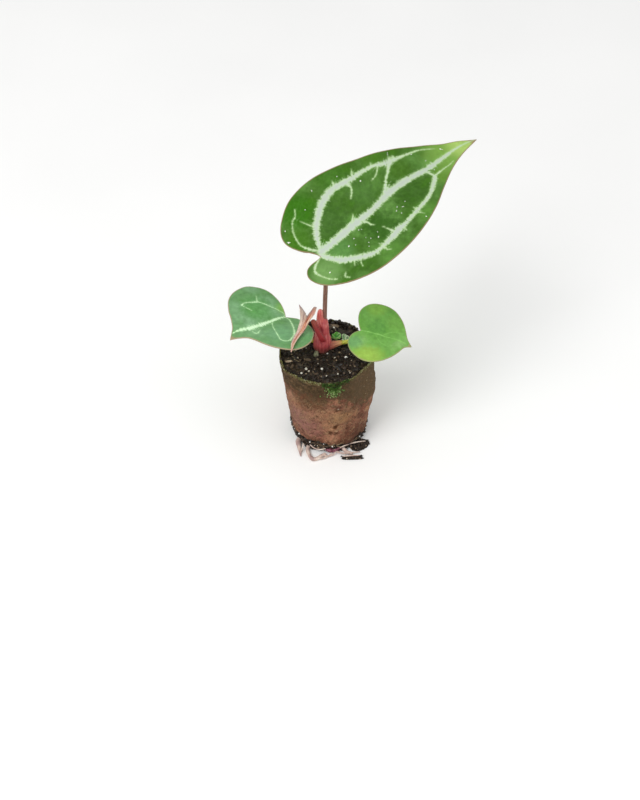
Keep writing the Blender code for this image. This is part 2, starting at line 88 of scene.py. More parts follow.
def soil_level(x, y):
    """Height of the crumbly surface at a place on top of the plug."""
    edge = plug_wall(SOIL_EDGE, np.degrees(np.arctan2(y, x - PLUG_LEAN)), PAPER)
    share = np.hypot(x - PLUG_LEAN, y) / np.hypot(edge[..., 0] - PLUG_LEAN, edge[..., 1])
    coarse = 0.35 * np.sin(0.62 * x + 1.3) * np.sin(0.55 * y + 0.4)
    fine = 0.25 * np.sin(1.7 * x + 0.9 * y) * np.cos(1.3 * y - 0.8 * x)
    return SOIL_EDGE + SOIL_DOME * (1.0 - share ** 2) + (coarse + fine) * np.clip(4.8 - 4 * share, 0, 1)


def shaped_grid(name, across, along, place):
    """A grid whose vertices are carried to place(s, t), s and t running from 0 to 1. Edges that meet are
    merged. place gives points and, if the surface needs them, a dict of values to keep on the points."""
    bpy.ops.object.select_all(action="DESELECT")
    bpy.ops.mesh.primitive_grid_add(x_subdivisions=across, y_subdivisions=along, size=1.0)
    piece = bpy.context.object
    piece.name = name
    piece.data.name = name
    flat = np.empty(3 * len(piece.data.vertices), np.float32)
    piece.data.vertices.foreach_get("co", flat)
    s, t = flat.reshape(-1, 3)[:, :2].astype(float).T + 0.5
    points = place(s, t)
    kept = {}
    if isinstance(points, tuple):
        points, kept = points
    piece.data.vertices.foreach_set("co", (points * MM).astype(np.float32).ravel())
    for key, values in kept.items():
        kind, part = ("FLOAT_VECTOR", "vector") if values.ndim == 2 else ("FLOAT", "value")
        layer = piece.data.attributes.new(key, kind, "POINT")
        layer.data.foreach_set(part, values.astype(np.float32).ravel())
    bpy.ops.object.mode_set(mode="EDIT")
    bpy.ops.mesh.select_all(action="SELECT")
    bpy.ops.mesh.remove_doubles(threshold=0.002 * MM)
    bpy.ops.mesh.normals_make_consistent(inside=False)
    bpy.ops.object.mode_set(mode="OBJECT")
    bpy.ops.object.shade_smooth()
    return piece


def linear(colour):
    """An sRGB hex colour as linear red, green, blue and alpha."""
    parts = [int(colour[k:k + 2], 16) / 255.0 for k in (1, 3, 5)]
    return [c / 12.92 if c <= 0.04045 else ((c + 0.055) / 1.055) ** 2.4 for c in parts] + [1.0]


def new_material(name):
    """A material, and the function that adds a node to it. Sockets go by name or number and take a value,
    a hex colour, a node or an output; stops are a ramp's places and colours."""
    made = bpy.data.materials.new(name)
    made.use_nodes = True
    tree = made.node_tree
    tree.nodes.clear()

    def add(kind, sockets=(), stops=(), **settings):
        added = tree.nodes.new("ShaderNode" + kind)
        for setting, value in settings.items():
            setattr(added, setting, value)
        for key, value in dict(sockets).items():
            usable = [socket for socket in added.inputs if socket.enabled]
            socket = usable[key] if isinstance(key, int) else next(s for s in usable if s.name == key)
            if isinstance(value, bpy.types.Node):
                value = next(output for output in value.outputs if output.enabled)
            if isinstance(value, bpy.types.NodeSocket):
                tree.links.new(value, socket)
            else:
                socket.default_value = linear(value) if isinstance(value, str) else value
        for count, (where, colour) in enumerate(stops):
            elements = added.color_ramp.elements
            stop = elements[count] if count < len(elements) else elements.new(where)
            stop.position = where
            stop.color = linear(colour)
        return added

    return made, add


def per_metre(size):
    """A pattern's scale on Object coordinates, which are metres, for marks of a size in millimetres."""
    return 1.0 / (size * MM)


def soil_skin(s, t):
    """The plug's skin: its top from the stem outwards, then its side and its flat foot."""
    angle = 360.0 * s
    share = np.clip(t / TOP_END, 0.0, 1.0)
    edge = plug_wall(SOIL_EDGE, angle, PAPER + 0.1)
    x = STEM_PLACE[0] + (edge[:, 0] - STEM_PLACE[0]) * share
    y = STEM_PLACE[1] + (edge[:, 1] - STEM_PLACE[1]) * share
    top = np.stack([x, y, soil_level(x, y)], axis=-1)
    height = np.interp(t, [TOP_END, SIDE_END], [SOIL_EDGE, 0.0])
    inset = np.interp(height, [0.0, 0.8, 3.0, 5.0], [1.0, 0.1, 0.2, PAPER + 0.2])
    side = plug_wall(height, angle, inset)
    foot = side * np.stack([np.interp(t, [SIDE_END, 1.0], [1.0, 0.0])] * 3, axis=-1)
    skin = np.where((t < TOP_END)[:, None], top, np.where((t < SIDE_END)[:, None], side, foot))
    crumbs = 0.70 * roughness_at(skin, 3.0, 4) + 0.35 * roughness_at(skin, 1.0, 3, 7.0)
    on_top = np.clip((TOP_END - t) * 30, 0, 1)
    on_side = np.clip((t - TOP_END) * 30, 0, 1) * np.clip((SIDE_END - t) * 30, 0, 1)
    turn = np.radians(angle)
    skin[:, 2] += crumbs * on_top
    skin[:, 0] += 0.8 * crumbs * on_side * np.cos(turn)
    skin[:, 1] += 0.8 * crumbs * on_side * np.sin(turn)
    return skin


soil_plug = shaped_grid("soil_plug", 220, 130, soil_skin)

# Wet peat and composted bark: nearly black, dull, with small wet glints and browner lumps
wet_peat, add = new_material("wet_peat_and_bark")
spot = add("TexCoord").outputs["Object"]
lumps = add("TexNoise", {"Vector": spot, "Scale": per_metre(2.38), "Detail": 6.0, "Roughness": 0.7})
grit = add("TexVoronoi", {"Vector": spot, "Scale": per_metre(1.11)})
tone = add("ValToRGB", {0: lumps},
           [(0.32, "#16100b"), (0.50, "#2a2018"), (0.62, "#453526"), (0.78, "#66523d")])
shade = add("ValToRGB", {0: grit}, [(0.0, "#8a8078"), (0.35, "#ffffff")])
colour = add("Mix", {"Factor": 0.8, "A": tone, "B": shade}, data_type="RGBA", blend_type="MULTIPLY")
wet = add("MapRange", {"Value": lumps, "To Min": 0.85, "To Max": 0.35})
dents = add("Bump", {"Strength": 0.8, "Distance": 0.3 * MM, "Height": grit})
shader = add("BsdfPrincipled", {"Base Color": colour, "Roughness": wet, "IOR": 1.4,
                                "Specular IOR Level": 0.35, "Normal": dents})
add("OutputMaterial", {"Surface": shader})
soil_plug.data.materials.append(wet_peat)
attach(soil_plug, "root")
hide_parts("soil")


# Loose soil
# Crumbs of peat, flakes of bark, a few tan chips and white grains of perlite, lying on the plug's top and
# stuck to its foot. Each grain has its own tone, from black peat at 0 to white perlite at 1.
CRUMBS = 1900
FOOT_CRUMBS = 900
FLAKES = 120
RIM_CLODS = 90
STEM_CLEAR = 3.6               # nothing lies nearer than this to the stem's centre
# The share of grains below each draw, and the tones they lie between
PEAT_TONES = ((0.68, 0.02, 0.20), (0.91, 0.22, 0.44), (0.98, 0.46, 0.66), (1.0, 0.70, 0.92))
# White grains on the plug's side: angle, height and half size
FOOT_GRAINS = [(-98.0, 5.2, 0.26), (-119.0, 5.0, 0.34), (-140.0, 6.0, 0.4), (-85.0, 3.8, 0.34),
               (-108.0, 3.4, 0.2), (-36.0, 3.0, 0.4), (25.0, 3.0, 0.35), (80.0, 2.6, 0.4),
               (150.0, 3.0, 0.35)]
# White grains on its top: x, y, half size and tone
PALE_GRAINS = [(-0.9, -1.8, 0.60, 1.0), (6.9, -4.2, 0.75, 1.0), (-3.3, -10.6, 0.70, 0.95),
               (-10.0, -10.6, 0.75, 0.9), (-8.8, -12.0, 0.55, 0.9), (-11.9, -12.8, 0.55, 0.95),
               (-5.0, -7.6, 0.45, 0.85), (-13.6, -4.1, 0.5, 0.8), (1.9, 14.9, 0.6, 0.95),
               (-18.6, 1.5, 0.6, 0.8), (3.4, -13.6, 0.45, 0.9), (8.5, -12.6, 0.45, 0.85),
               (-1.4, -14.5, 0.4, 0.9), (0.6, 7.6, 0.6, 0.8), (-15.2, 8.8, 0.5, 0.9)]
# Chips of bark on its top: x, y, tone, length, width and heading
BARK_CHIPS = [(-17.2, -5.7, 0.78, 3.4, 1.3, 25.0), (-9.4, -5.0, 0.50, 3.6, 1.5, -15.0),
              (-16.0, -8.6, 0.48, 2.2, 1.2, 60.0), (-12.4, -8.2, 0.34, 2.8, 1.3, -35.0),
              (-5.6, -13.8, 0.42, 2.2, 1.1, 10.0), (1.6, -8.4, 0.24, 3.0, 1.4, 50.0),
              (6.0, -9.8, 0.28, 2.4, 1.2, -20.0), (10.4, -6.4, 0.34, 2.2, 1.1, 70.0),
              (2.4, 16.2, 0.55, 4.2, 1.9, -12.0), (8.8, 12.6, 0.36, 3.4, 1.8, 40.0),
              (-8.5, 13.5, 0.4, 3.6, 1.8, 20.0), (-14.0, 7.0, 0.3, 3.2, 1.5, -60.0),
              (13.0, 4.0, 0.36, 3.0, 1.4, 15.0), (6.6, 11.2, 0.2, 7.0, 3.4, -38.0),
              (9.4, 9.6, 0.16, 4.0, 2.6, -20.0)]
chance = random.Random(11)


def joined_copies(name, model, copies):
    """One piece made of copies of a small model, each with a 4 x 4 matrix in millimetres and a tone."""
    corners = np.array([v.co for v in model.data.vertices])
    corners = np.hstack([corners, np.ones((len(corners), 1))])
    faces = [tuple(face.vertices) for face in model.data.polygons]
    points, polygons, tones = [], [], []
    for matrix, tone in copies:
        first = len(points) * len(corners)
        polygons += [tuple(first + k for k in face) for face in faces]
        points.append(corners @ np.array(matrix).T[:, :3])
        tones += [tone] * len(corners)
    mesh = bpy.data.meshes.new(name)
    mesh.from_pydata((np.vstack(points) * MM).tolist(), [], polygons)
    mesh.attributes.new("tone", "FLOAT", "POINT").data.foreach_set("value", tones)
    mesh.shade_flat()
    piece = bpy.data.objects.new(name, mesh)
    bpy.context.scene.collection.objects.link(piece)
    bpy.data.objects.remove(model, do_unlink=True)
    return piece


def lump(detail, jag):
    """A broken grain about 2 mm across, to be copied: a ball with its corners pushed in and out."""
    bpy.ops.object.select_all(action="DESELECT")
    bpy.ops.mesh.primitive_ico_sphere_add(subdivisions=detail, radius=1.0)
    grain = bpy.context.object
    for corner in grain.data.vertices:
        corner.co *= 1.0 + jag * noise.noise(corner.co * 1.9)
    return grain


def placed(x, y, z, size, flat=1.0, tilt=0.5, heading=None):
    """Matrix of a grain of a half size, or of half sizes along its three axes, turned at random."""
    sizes = size if isinstance(size, tuple) else (size, size * chance.uniform(0.6, 1.0), size * flat)
    heading = chance.uniform(0.0, 2 * math.pi) if heading is None else math.radians(heading)
    turn = Matrix.Rotation(heading, 4, "Z") @ Matrix.Rotation(chance.uniform(-tilt, tilt), 4, "X")
    turn = turn @ Matrix.Rotation(chance.uniform(-tilt, tilt), 4, "Y")
    return Matrix.Translation((x, y, z)) @ turn @ Matrix.Diagonal((*sizes, 1.0))


def peat_tone():
    """A random tone: most grains are dark peat and a few are tan or white."""
    draw = chance.random()
    low, high = next((low, high) for limit, low, high in PEAT_TONES if draw <= limit)
    return chance.uniform(low, high)


def top_place(reach=0.97):
    """A random place on the plug's top, clear of the stem."""
    while True:
        angle = chance.uniform(-180.0, 180.0)
        share = reach * math.sqrt(chance.random())
        x, y, _ = plug_wall(SOIL_EDGE, angle, PAPER)
        x = PLUG_LEAN + (x - PLUG_LEAN) * share
        y = y * share
        if math.hypot(x - STEM_PLACE[0], y - STEM_PLACE[1]) > STEM_CLEAR:
            return x, y


crumbs = []
for _ in range(CRUMBS):
    x, y = top_place()
    size = 0.16 + 0.42 * chance.random() ** 2.2
    crumbs.append((placed(x, y, soil_level(x, y) + 0.5 * size + 0.15, size, 0.8), peat_tone()))
for _ in range(FOOT_CRUMBS):
    angle = chance.uniform(-180.0, 180.0)
    height = chance.uniform(0.4, float(torn_edge(angle)) + 0.2)
    size = 0.18 + 0.62 * chance.random() ** 3
    x, y, z = plug_wall(height, angle, chance.uniform(-0.1, 0.6))
    crumbs.append((placed(x, y, max(z, size), size, 0.8), peat_tone() * chance.uniform(0.8, 1.15)))
soil_crumbs = joined_copies("soil_crumbs", lump(1, 0.45), crumbs)

pebbles = []
for _ in range(FLAKES):
    x, y = top_place(0.95)
    long = chance.uniform(0.7, 1.7)
    sizes = (long, long * chance.uniform(0.35, 0.6), 0.28)
    pebbles.append((placed(x, y, soil_level(x, y) + 0.3, sizes, tilt=0.45), peat_tone() * 0.6))
for _ in range(RIM_CLODS):
    angle = chance.gauss(78.0, 38.0)
    size = chance.uniform(0.35, 0.95)
    x, y, _ = plug_wall(PLUG_HEIGHT, angle, chance.uniform(0.4, 2.2))
    pebbles.append((placed(x, y, PLUG_HEIGHT + chance.uniform(-0.4, 0.5), size, 0.8), peat_tone() * 0.5))
for x, y, tone, length, width, heading in BARK_CHIPS:
    sizes = (length / 2, width / 2, 0.42)
    pebbles.append((placed(x, y, float(soil_level(x, y)) + 0.5, sizes, tilt=0.22, heading=heading), tone))
for angle, height, size in FOOT_GRAINS:
    pebbles.append((placed(*plug_wall(height, angle, 0.0), size, 0.9), 0.98))
for x, y, size, tone in PALE_GRAINS:
    pebbles.append((placed(x, y, float(soil_level(x, y)) + 0.45, 0.85 * size, 0.85), tone))
bark_and_perlite = joined_copies("bark_and_perlite", lump(2, 0.5), pebbles)

# Loose peat, bark and perlite: the same wet peat where it is dark, drier and chalkier where it is pale
loose_grains, add = new_material("peat_bark_and_perlite_grains")
own = add("Attribute", attribute_name="tone").outputs["Fac"]
spot = add("TexCoord").outputs["Object"]
mottle = add("TexNoise", {"Vector": spot, "Scale": per_metre(0.714), "Detail": 4.0})
grain_size = add("MapRange", {"Value": mottle, "To Min": -0.14, "To Max": 0.14})
varied = add("Math", {0: own, 1: grain_size}, operation="ADD")
tone = add("ValToRGB", {0: varied}, [(0.0, "#16100b"), (0.25, "#31251b"), (0.45, "#534132"), (0.6, "#7f6c58"),
                                      (0.75, "#a88d71"), (0.9, "#d9d1c2"), (1.0, "#f4f2ec")])
dull = add("MapRange", {"Value": own, "To Min": 0.45, "To Max": 0.95})
dents = add("Bump", {"Strength": 0.5, "Distance": 0.1 * MM, "Height": mottle})
shader = add("BsdfPrincipled", {"Base Color": tone, "Roughness": dull, "IOR": 1.45, "Normal": dents})
add("OutputMaterial", {"Surface": shader})
for piece in (soil_crumbs, bark_and_perlite):
    piece.data.materials.append(loose_grains)
    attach(piece, "root")


# Paper sleeve
# A tube of thin, degradable plant-fibre paper, wrapped round the soil and glued along one overlap. Damp and
# algae have stained its upper band olive; the rest is dry and pinkish brown, with fibres, creases and specks.
SEAM_STEP = 0.35
SEAM_ANGLES = (-34.0, -4.0)
PAPER_WALL = 0.55
SLEEVE_RADIUS = 18.0           # halfway up
SLEEVE_ROUND = 115.0
SLEEVE_TALL = 42.0
CURL_START = 0.965             # share of the sleeve's height above which its rim curls
WRINKLES = [(-79.0, 17.3, 2.7, 0.9, 0.60, 22.0), (-87.0, 13.5, 1.7, 1.0, 0.60, -55.0),
            (-79.0, 12.4, 1.4, 0.8, 0.50, -45.0), (-83.5, 18.2, 3.6, 0.9, -0.40, -62.0),
            (-84.0, 9.5, 2.2, 1.2, -0.35, 80.0), (-73.0, 19.8, 3.2, 0.9, -0.35, 18.0),
            (-62.0, 11.2, 2.4, 0.9, 0.35, 8.0), (-56.0, 8.5, 2.6, 0.9, 0.35, 12.0),
            (-104.0, 24.0, 2.2, 0.8, 0.30, -35.0), (-96.0, 28.5, 2.6, 0.9, 0.30, -30.0),
            (-88.0, 25.5, 3.0, 0.9, -0.30, -50.0), (-77.0, 27.5, 1.6, 0.8, 0.45, 60.0),
            (-66.0, 23.0, 2.4, 0.8, 0.30, 40.0), (-50.0, 28.0, 2.6, 0.9, 0.35, 60.0),
            (-52.0, 19.0, 3.0, 0.9, 0.30, 25.0), (-122.0, 18.5, 2.4, 0.8, 0.25, 60.0),
            (-130.0, 11.5, 2.6, 0.8, 0.30, -40.0), (-111.0, 14.4, 2.2, 0.8, 0.25, -10.0),
            (-140.0, 27.0, 4.0, 1.0, 0.30, 75.0), (60.0, 18.0, 4.0, 1.0, 0.35, 30.0),
            (130.0, 26.0, 5.0, 1.0, 0.35, -25.0), (175.0, 14.0, 4.0, 0.9, 0.35, 40.0),
            (95.0, 30.0, 3.6, 1.0, -0.35, 60.0), (20.0, 12.0, 3.0, 1.0, 0.35, -30.0)]


def overlap(angle):
    """1 on the doubled paper and 0 beside it."""
    off = (angle + 180.0) % 360.0 - 180.0
    start, end = SEAM_ANGLES
    return 1.0 / (1.0 + np.exp(-(off - start) / 0.5)) / (1.0 + np.exp((off - end) / 0.5))


def rim_height(angle):
    """Height of the sleeve's torn rim."""
    turn = np.radians(angle)
    torn = 0.18 * np.sin(23 * turn + 1.0) * np.sin(9 * turn) + 0.12 * np.sin(41 * turn)
    return PLUG_HEIGHT + 0.3 * np.sin(3 * turn + 0.5) + 0.2 * np.sin(8 * turn) + torn


def sleeve_skin(s, t):
    """The paper's outer face, with its lumps and wrinkles. A wrinkle has an angle and a height on the
    sleeve, a length, a width and a depth in millimetres, and a slope in degrees."""
    angle = 360.0 * s - 180.0
    turn = np.radians(angle)
    bottom = torn_edge(angle)
    height = bottom + (rim_height(angle) - bottom) * t
    skin = plug_wall(height, angle, -SEAM_STEP * overlap(angle))
    fibres = 0.16 * roughness_at(skin, 2.0, 3) + 0.34 * roughness_at(skin, 5.0, 3, 5.0)
    for place, level, long, wide, deep, slope in WRINKLES:
        x = np.radians((angle - place + 180.0) % 360.0 - 180.0) * SLEEVE_RADIUS
        y = height - level
        tilt = math.radians(slope)
        along = x * math.cos(tilt) + y * math.sin(tilt)
        off = y * math.cos(tilt) - x * math.sin(tilt) + 0.4 * np.sin(1.3 * along)
        fibres = fibres - deep * np.exp(-(along / long) ** 2 - (off / (0.6 * wide)) ** 2)
    curl = 0.35 * np.clip(t - CURL_START, 0, 1) / (1.0 - CURL_START) * np.sin(5 * turn + 1.0)
    out = fibres + curl
    skin[:, 0] += out * np.cos(turn)
    skin[:, 1] += out * np.sin(turn)
    return skin


def thicken(piece, wall, offset=-1.0, underside=0):
    """Gives a sheet its thickness in millimetres; offset -1 keeps its outer face where it is."""
    bpy.ops.object.select_all(action="DESELECT")
    piece.select_set(True)
    bpy.context.view_layer.objects.active = piece
    solid = piece.modifiers.new("thickness", "SOLIDIFY")
    solid.thickness = wall * MM
    solid.offset = offset
    solid.material_offset = underside
    bpy.ops.object.modifier_apply(modifier=solid.name)


def soft_patches(add, ground, place, wander, patches):
    """Patches of colour over a ground, with blurred, wandering edges. Each has a place in millimetres, a
    reach, a colour and a strength."""
    for at, reach, hue, strength in patches:
        away = add("VectorMath", {0: place, 1: at}, operation="DISTANCE").outputs["Value"]
        blur = add("MapRange", {"Value": wander, "To Min": -0.4 * reach, "To Max": 0.4 * reach})
        blurred = add("Math", {0: away, 1: blur}, operation="ADD")
        share = add("MapRange", {"Value": blurred, "From Min": 0.3 * reach, "From Max": reach,
                                 "To Min": strength, "To Max": 0.0}, interpolation_type="SMOOTHSTEP")
        ground = add("Mix", {"Factor": share, "A": ground, "B": hue}, data_type="RGBA")
    return ground


paper_sleeve = shaped_grid("paper_sleeve", 340, 84, sleeve_skin)
thicken(paper_sleeve, PAPER_WALL)

# Stains and painted light, by angle and height: brown below the damp, mauve at the lower left, tan in the
# middle with painted highlight on its ridges, painted shade at the lower right and in the creases, with pits
# and a few bright grains
PAPER_STAINS_AND_SHADING = [(-124.0, 32.5, 9.0, "#63442f", 0.8), (-105.0, 32.5, 8.0, "#60432c", 0.8),
                (-145.0, 31.0, 5.0, "#a07c69", 0.7), (-149.0, 22.0, 6.0, "#957062", 0.6),
                (-135.0, 18.0, 10.0, "#94706a", 0.75), (-117.0, 15.0, 9.0, "#936963", 0.7),
                (-110.0, 24.0, 6.0, "#96705f", 0.6), (-91.0, 25.0, 6.0, "#9f7b60", 0.6),
                (-87.0, 18.0, 5.0, "#ad8668", 0.7), (-84.0, 9.0, 4.5, "#b0846c", 0.75),
                (-73.0, 23.0, 6.0, "#a38361", 0.8), (-60.0, 22.0, 6.0, "#957354", 0.6),
                (-50.0, 18.0, 6.0, "#845c4b", 0.6), (-40.0, 8.0, 9.0, "#603e33", 0.85),
                (-60.0, 10.5, 6.0, "#70493a", 0.8), (-52.0, 7.5, 5.0, "#5d3b2f", 0.8),
                (-72.0, 5.2, 3.4, "#573621", 0.8), (-87.0, 13.5, 1.7, "#4a2814", 0.9),
                (-79.5, 17.2, 1.7, "#502f17", 0.9), (-76.0, 18.0, 1.7, "#502f17", 0.8),
                (-79.0, 12.4, 1.4, "#45200f", 0.85), (-122.0, 17.5, 0.8, "#4c2c22", 0.8),
                (-112.0, 28.0, 1.2, "#4c2c1e", 0.7), (-104.0, 24.0, 1.0, "#4c2c1e", 0.8),
                (-129.0, 11.0, 1.1, "#4a2c20", 0.8), (-109.0, 14.5, 0.9, "#4c2c22", 0.8),
                (-95.0, 28.8, 1.6, "#573724", 0.7), (-54.0, 26.5, 1.5, "#543622", 0.7),
                (-48.0, 29.0, 1.8, "#4c321e", 0.7), (-77.0, 28.0, 1.2, "#4a2b18", 0.8),
                (-67.0, 26.0, 1.6, "#5c3c26", 0.6), (-62.0, 15.5, 1.8, "#5c3b29", 0.6),
                (-75.0, 29.0, 0.6, "#e6dccd", 0.9), (-78.0, 14.2, 0.8, "#e2c4a4", 0.9),
                (-64.0, 35.5, 0.8, "#cdb999", 0.9), (-81.0, 36.5, 1.1, "#c68c6c", 0.85),
                (-20.0, 39.0, 6.0, "#6e4b2c", 0.7), (-160.0, 30.0, 1.6, "#33241b", 0.8)]

# Unbleached plant-fibre paper, wet-laid: matt, with tangled fibres about 0.2 mm wide, drawn as pale threads.
# Its patterns lie on coordinates in millimetres, so a scale of 1 / 5.0 gives blotches 5 mm wide.
fibre_paper, add = new_material("plant_fibre_paper")
spot = add("TexCoord").outputs["Object"]
rolled = add("TexCoord").outputs["UV"]
whole = add("Mapping", {"Vector": spot, "Scale": (1000.0, 1000.0, 1000.0)})
parts = add("SeparateXYZ", {"Vector": whole})
blotch = add("TexNoise", {"Vector": whole, "Scale": 1 / 5.0, "Detail": 5.0, "Roughness": 0.68})
cloud = add("TexNoise", {"Vector": whole, "Scale": 1 / 2.22, "Detail": 4.0, "Roughness": 0.62})
fleck = add("TexNoise", {"Vector": whole, "Scale": 1 / 0.77, "Detail": 2.0})
to_right = add("MapRange", {"Value": parts.outputs["X"], "From Min": 3.0, "From Max": 15.0, "To Min": 34.5,
                            "To Max": 25.0})
above = add("Math", {0: parts.outputs["Z"], 1: to_right}, operation="SUBTRACT")
blur = add("MapRange", {"Value": cloud, "From Min": 0.3, "From Max": 0.7, "To Min": -5.0, "To Max": 5.0})
edge = add("Math", {0: above, 1: blur}, operation="ADD")
damp = add("MapRange", {"Value": edge, "From Min": -3.5, "From Max": 4.0}, interpolation_type="SMOOTHSTEP")
mottled = add("ValToRGB", {0: blotch}, [(0.38, "#5c3b2f"), (0.46, "#7c5243"), (0.52, "#8f6655"),
                                        (0.58, "#a0765e"), (0.66, "#b68d6d")])
# Stains, with painted highlight on the ridges and painted shade in the creases and at the lower right, over
# the mottled paper
stains_and_shading = [(tuple(plug_wall(height, angle, 0.0)), *rest) for angle, height, *rest in PAPER_STAINS_AND_SHADING]
stained_and_shaded = soft_patches(add, mottled, whole, cloud, stains_and_shading)
crumple = add("TexNoise", {"Vector": whole, "Scale": 1 / 1.82, "Detail": 4.0, "Roughness": 0.62,
                           "Distortion": 2.2})
shaded = add("ValToRGB", {0: crumple}, [(0.36, "#7d6457"), (0.45, "#dfcdbf"), (0.55, "#fff1e4")])
dry = add("Mix", {"Factor": 0.85, "A": stained_and_shaded, "B": shaded}, data_type="RGBA", blend_type="MULTIPLY")
stain = add("ValToRGB", {0: cloud},
            [(0.34, "#2e2312"), (0.48, "#43341f"), (0.58, "#533f28"), (0.72, "#6c553a")])
rightwards = add("MapRange", {"Value": parts.outputs["X"], "From Min": 3.0, "From Max": 14.0, "To Max": 0.6})
soaked = add("Mix", {"Factor": rightwards, "A": stain, "B": "#66533b"}, data_type="RGBA")
ground = add("Mix", {"Factor": damp, "A": dry, "B": soaked}, data_type="RGBA")
threads = []
for slant, shift in ((0.6, 0.0), (-0.8, 3.0), (1.45, 7.0)):
    laid = add("Mapping", {"Vector": rolled, "Location": (shift, 0.0, 0.0), "Rotation": (0.0, 0.0, slant),
                           "Scale": (SLEEVE_ROUND, SLEEVE_TALL, 1.0)})
    drawn = add("Mapping", {"Vector": laid, "Scale": (1 / 0.794, 1 / 5.10, 1.0)})
    line = add("TexNoise", {"Vector": drawn, "Scale": 1.0, "Detail": 2.0, "Distortion": 0.8})
    middle = add("Math", {0: line, 1: 0.5}, operation="SUBTRACT")
    narrow = add("Math", {0: middle}, operation="ABSOLUTE")
    threads.append(add("MapRange", {"Value": narrow, "From Min": 0.008, "From Max": 0.035, "To Min": 1.0,
                                    "To Max": 0.0}))
most = add("Math", {0: threads[0], 1: threads[1]}, operation="MAXIMUM")
every = add("Math", {0: most, 1: threads[2]}, operation="MAXIMUM")
patchy = add("MapRange", {"Value": cloud, "From Min": 0.44, "From Max": 0.60, "To Min": 0.05, "To Max": 0.6})
shown = add("Math", {0: every, 1: patchy}, operation="MULTIPLY")
drier = add("MapRange", {"Value": damp, "To Min": 1.0, "To Max": 0.3})
lit = add("Math", {0: shown, 1: drier}, operation="MULTIPLY")
threaded = add("Mix", {"Factor": lit, "A": ground, "B": "#b9946f"}, data_type="RGBA")
pits = add("MapRange", {"Value": fleck, "From Min": 0.28, "From Max": 0.36, "To Min": 0.8, "To Max": 0.0})
pitted = add("Mix", {"Factor": pits, "A": threaded, "B": "#3b2a22"}, data_type="RGBA")
grains = add("TexVoronoi", {"Vector": whole, "Scale": 1 / 3.57})
light = add("MapRange", {"Value": grains, "From Min": 0.04, "From Max": 0.06, "To Min": 0.7, "To Max": 0.0})
dotted = add("Mix", {"Factor": light, "A": pitted, "B": "#cdb596"}, data_type="RGBA")
near_rim = add("MapRange", {"Value": parts.outputs["Z"], "From Min": 44.2, "From Max": 45.6})
moist = add("MapRange", {"Value": fleck, "From Min": 0.46, "From Max": 0.56})
algae = add("Math", {0: near_rim, 1: moist}, operation="MULTIPLY")
finished = add("Mix", {"Factor": algae, "A": dotted, "B": "#6f6c42"}, data_type="RGBA")
near_foot = add("MapRange", {"Value": parts.outputs["Z"], "From Min": 3.0, "From Max": 7.5, "To Min": 0.55,
                             "To Max": 0.0})
footed = add("Mix", {"Factor": near_foot, "A": finished, "B": "#3d2a22"}, data_type="RGBA")
high = add("Math", {0: shown, 1: cloud}, operation="ADD")
relief = add("Bump", {"Strength": 0.9, "Distance": 0.4 * MM, "Height": high})
shader = add("BsdfPrincipled", {"Base Color": footed, "Roughness": 0.85, "IOR": 1.45,
                                "Specular IOR Level": 0.15, "Normal": relief})
add("OutputMaterial", {"Surface": shader})
paper_sleeve.data.materials.append(fibre_paper)
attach(paper_sleeve, "root")
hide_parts("sleeve")


# Roots from under the plug
# Young fleshy roots that grew out below the paper and lie on the surface in front: a pale pointed one, a
# looped one, a purple one in three strands pressed against the soil, a white one beside it, and fine
# threads between them.
# The angle, height and radius where a root leaves the soil, then its knots of x, y, z and radius
PALE_ROOT = (-144.0, 1.6, 1.1,
             [(-13.8, -11.4, 1.25, 1.15), (-13.3, -14.4, 0.95, 0.9), (-12.9, -17.0, 0.6, 0.6),
              (-12.6, -19.4, 0.25, 0.22)])
LOOPED_ROOT = (-124.0, 1.2, 0.9,
               [(-9.6, -16.2, 0.95, 0.85), (-8.7, -19.4, 0.85, 0.8), (-7.4, -21.4, 0.85, 0.85),
                (-5.4, -21.2, 0.9, 0.8), (-3.4, -19.4, 0.9, 0.7), (-1.4, -18.3, 0.9, 0.6)])
WHITE_ROOT = (-69.0, 1.2, 0.8, [(7.4, -17.0, 0.9, 0.85), (8.8, -17.7, 0.8, 0.75), (10.4, -18.2, 0.6, 0.5)])
# Strands on the soil's side, with knots of angle, height and radius
PURPLE_ROOTS = [[(-97.0, 1.5, 0.4), (-91.0, 1.9, 0.75), (-84.0, 1.5, 0.8), (-77.0, 1.1, 0.6)],
                [(-94.0, 0.7, 0.4), (-88.0, 0.8, 0.6), (-83.0, 1.1, 0.65), (-76.0, 2.0, 0.45),
                 (-71.0, 2.2, 0.3)],
                [(-89.0, 2.6, 0.3), (-85.0, 1.0, 0.5), (-80.0, 0.7, 0.6), (-74.0, 0.6, 0.35)]]
# Threads with knots of x, y, z and radius
ROOT_THREADS = [[(-3.3, -18.7, 0.9, 0.45), (-1.2, -19.5, 0.7, 0.35), (1.4, -18.9, 0.8, 0.3),
                 (3.2, -17.3, 1.3, 0.25)],
                [(-6.0, -21.3, 1.4, 0.35), (-3.6, -21.2, 1.0, 0.32), (-1.2, -20.2, 0.8, 0.3),
                 (1.2, -18.2, 1.4, 0.25)],
                [(3.2, -17.8, 1.6, 0.4), (6.4, -18.5, 1.3, 0.34), (9.8, -17.9, 1.2, 0.3),
                 (13.6, -17.2, 0.9, 0.22)],
                [(4.4, -16.5, 2.6, 0.2), (6.4, -15.7, 3.1, 0.24), (8.8, -14.6, 3.2, 0.24),
                 (11.4, -13.4, 2.9, 0.26), (14.0, -12.4, 2.4, 0.24), (16.2, -11.4, 1.6, 0.18)],
                [(6.0, -20.2, 1.3, 0.22), (9.6, -20.0, 1.5, 0.26), (13.4, -19.6, 1.3, 0.2)],
                [(-11.4, -13.9, 2.8, 0.3), (-12.0, -15.8, 1.5, 0.3), (-12.9, -18.4, 0.5, 0.2)],
                [(-8.6, -15.0, 3.2, 0.25), (-6.4, -16.7, 2.6, 0.28), (-4.0, -17.6, 2.9, 0.24),
                 (-1.6, -17.6, 3.4, 0.2)]]


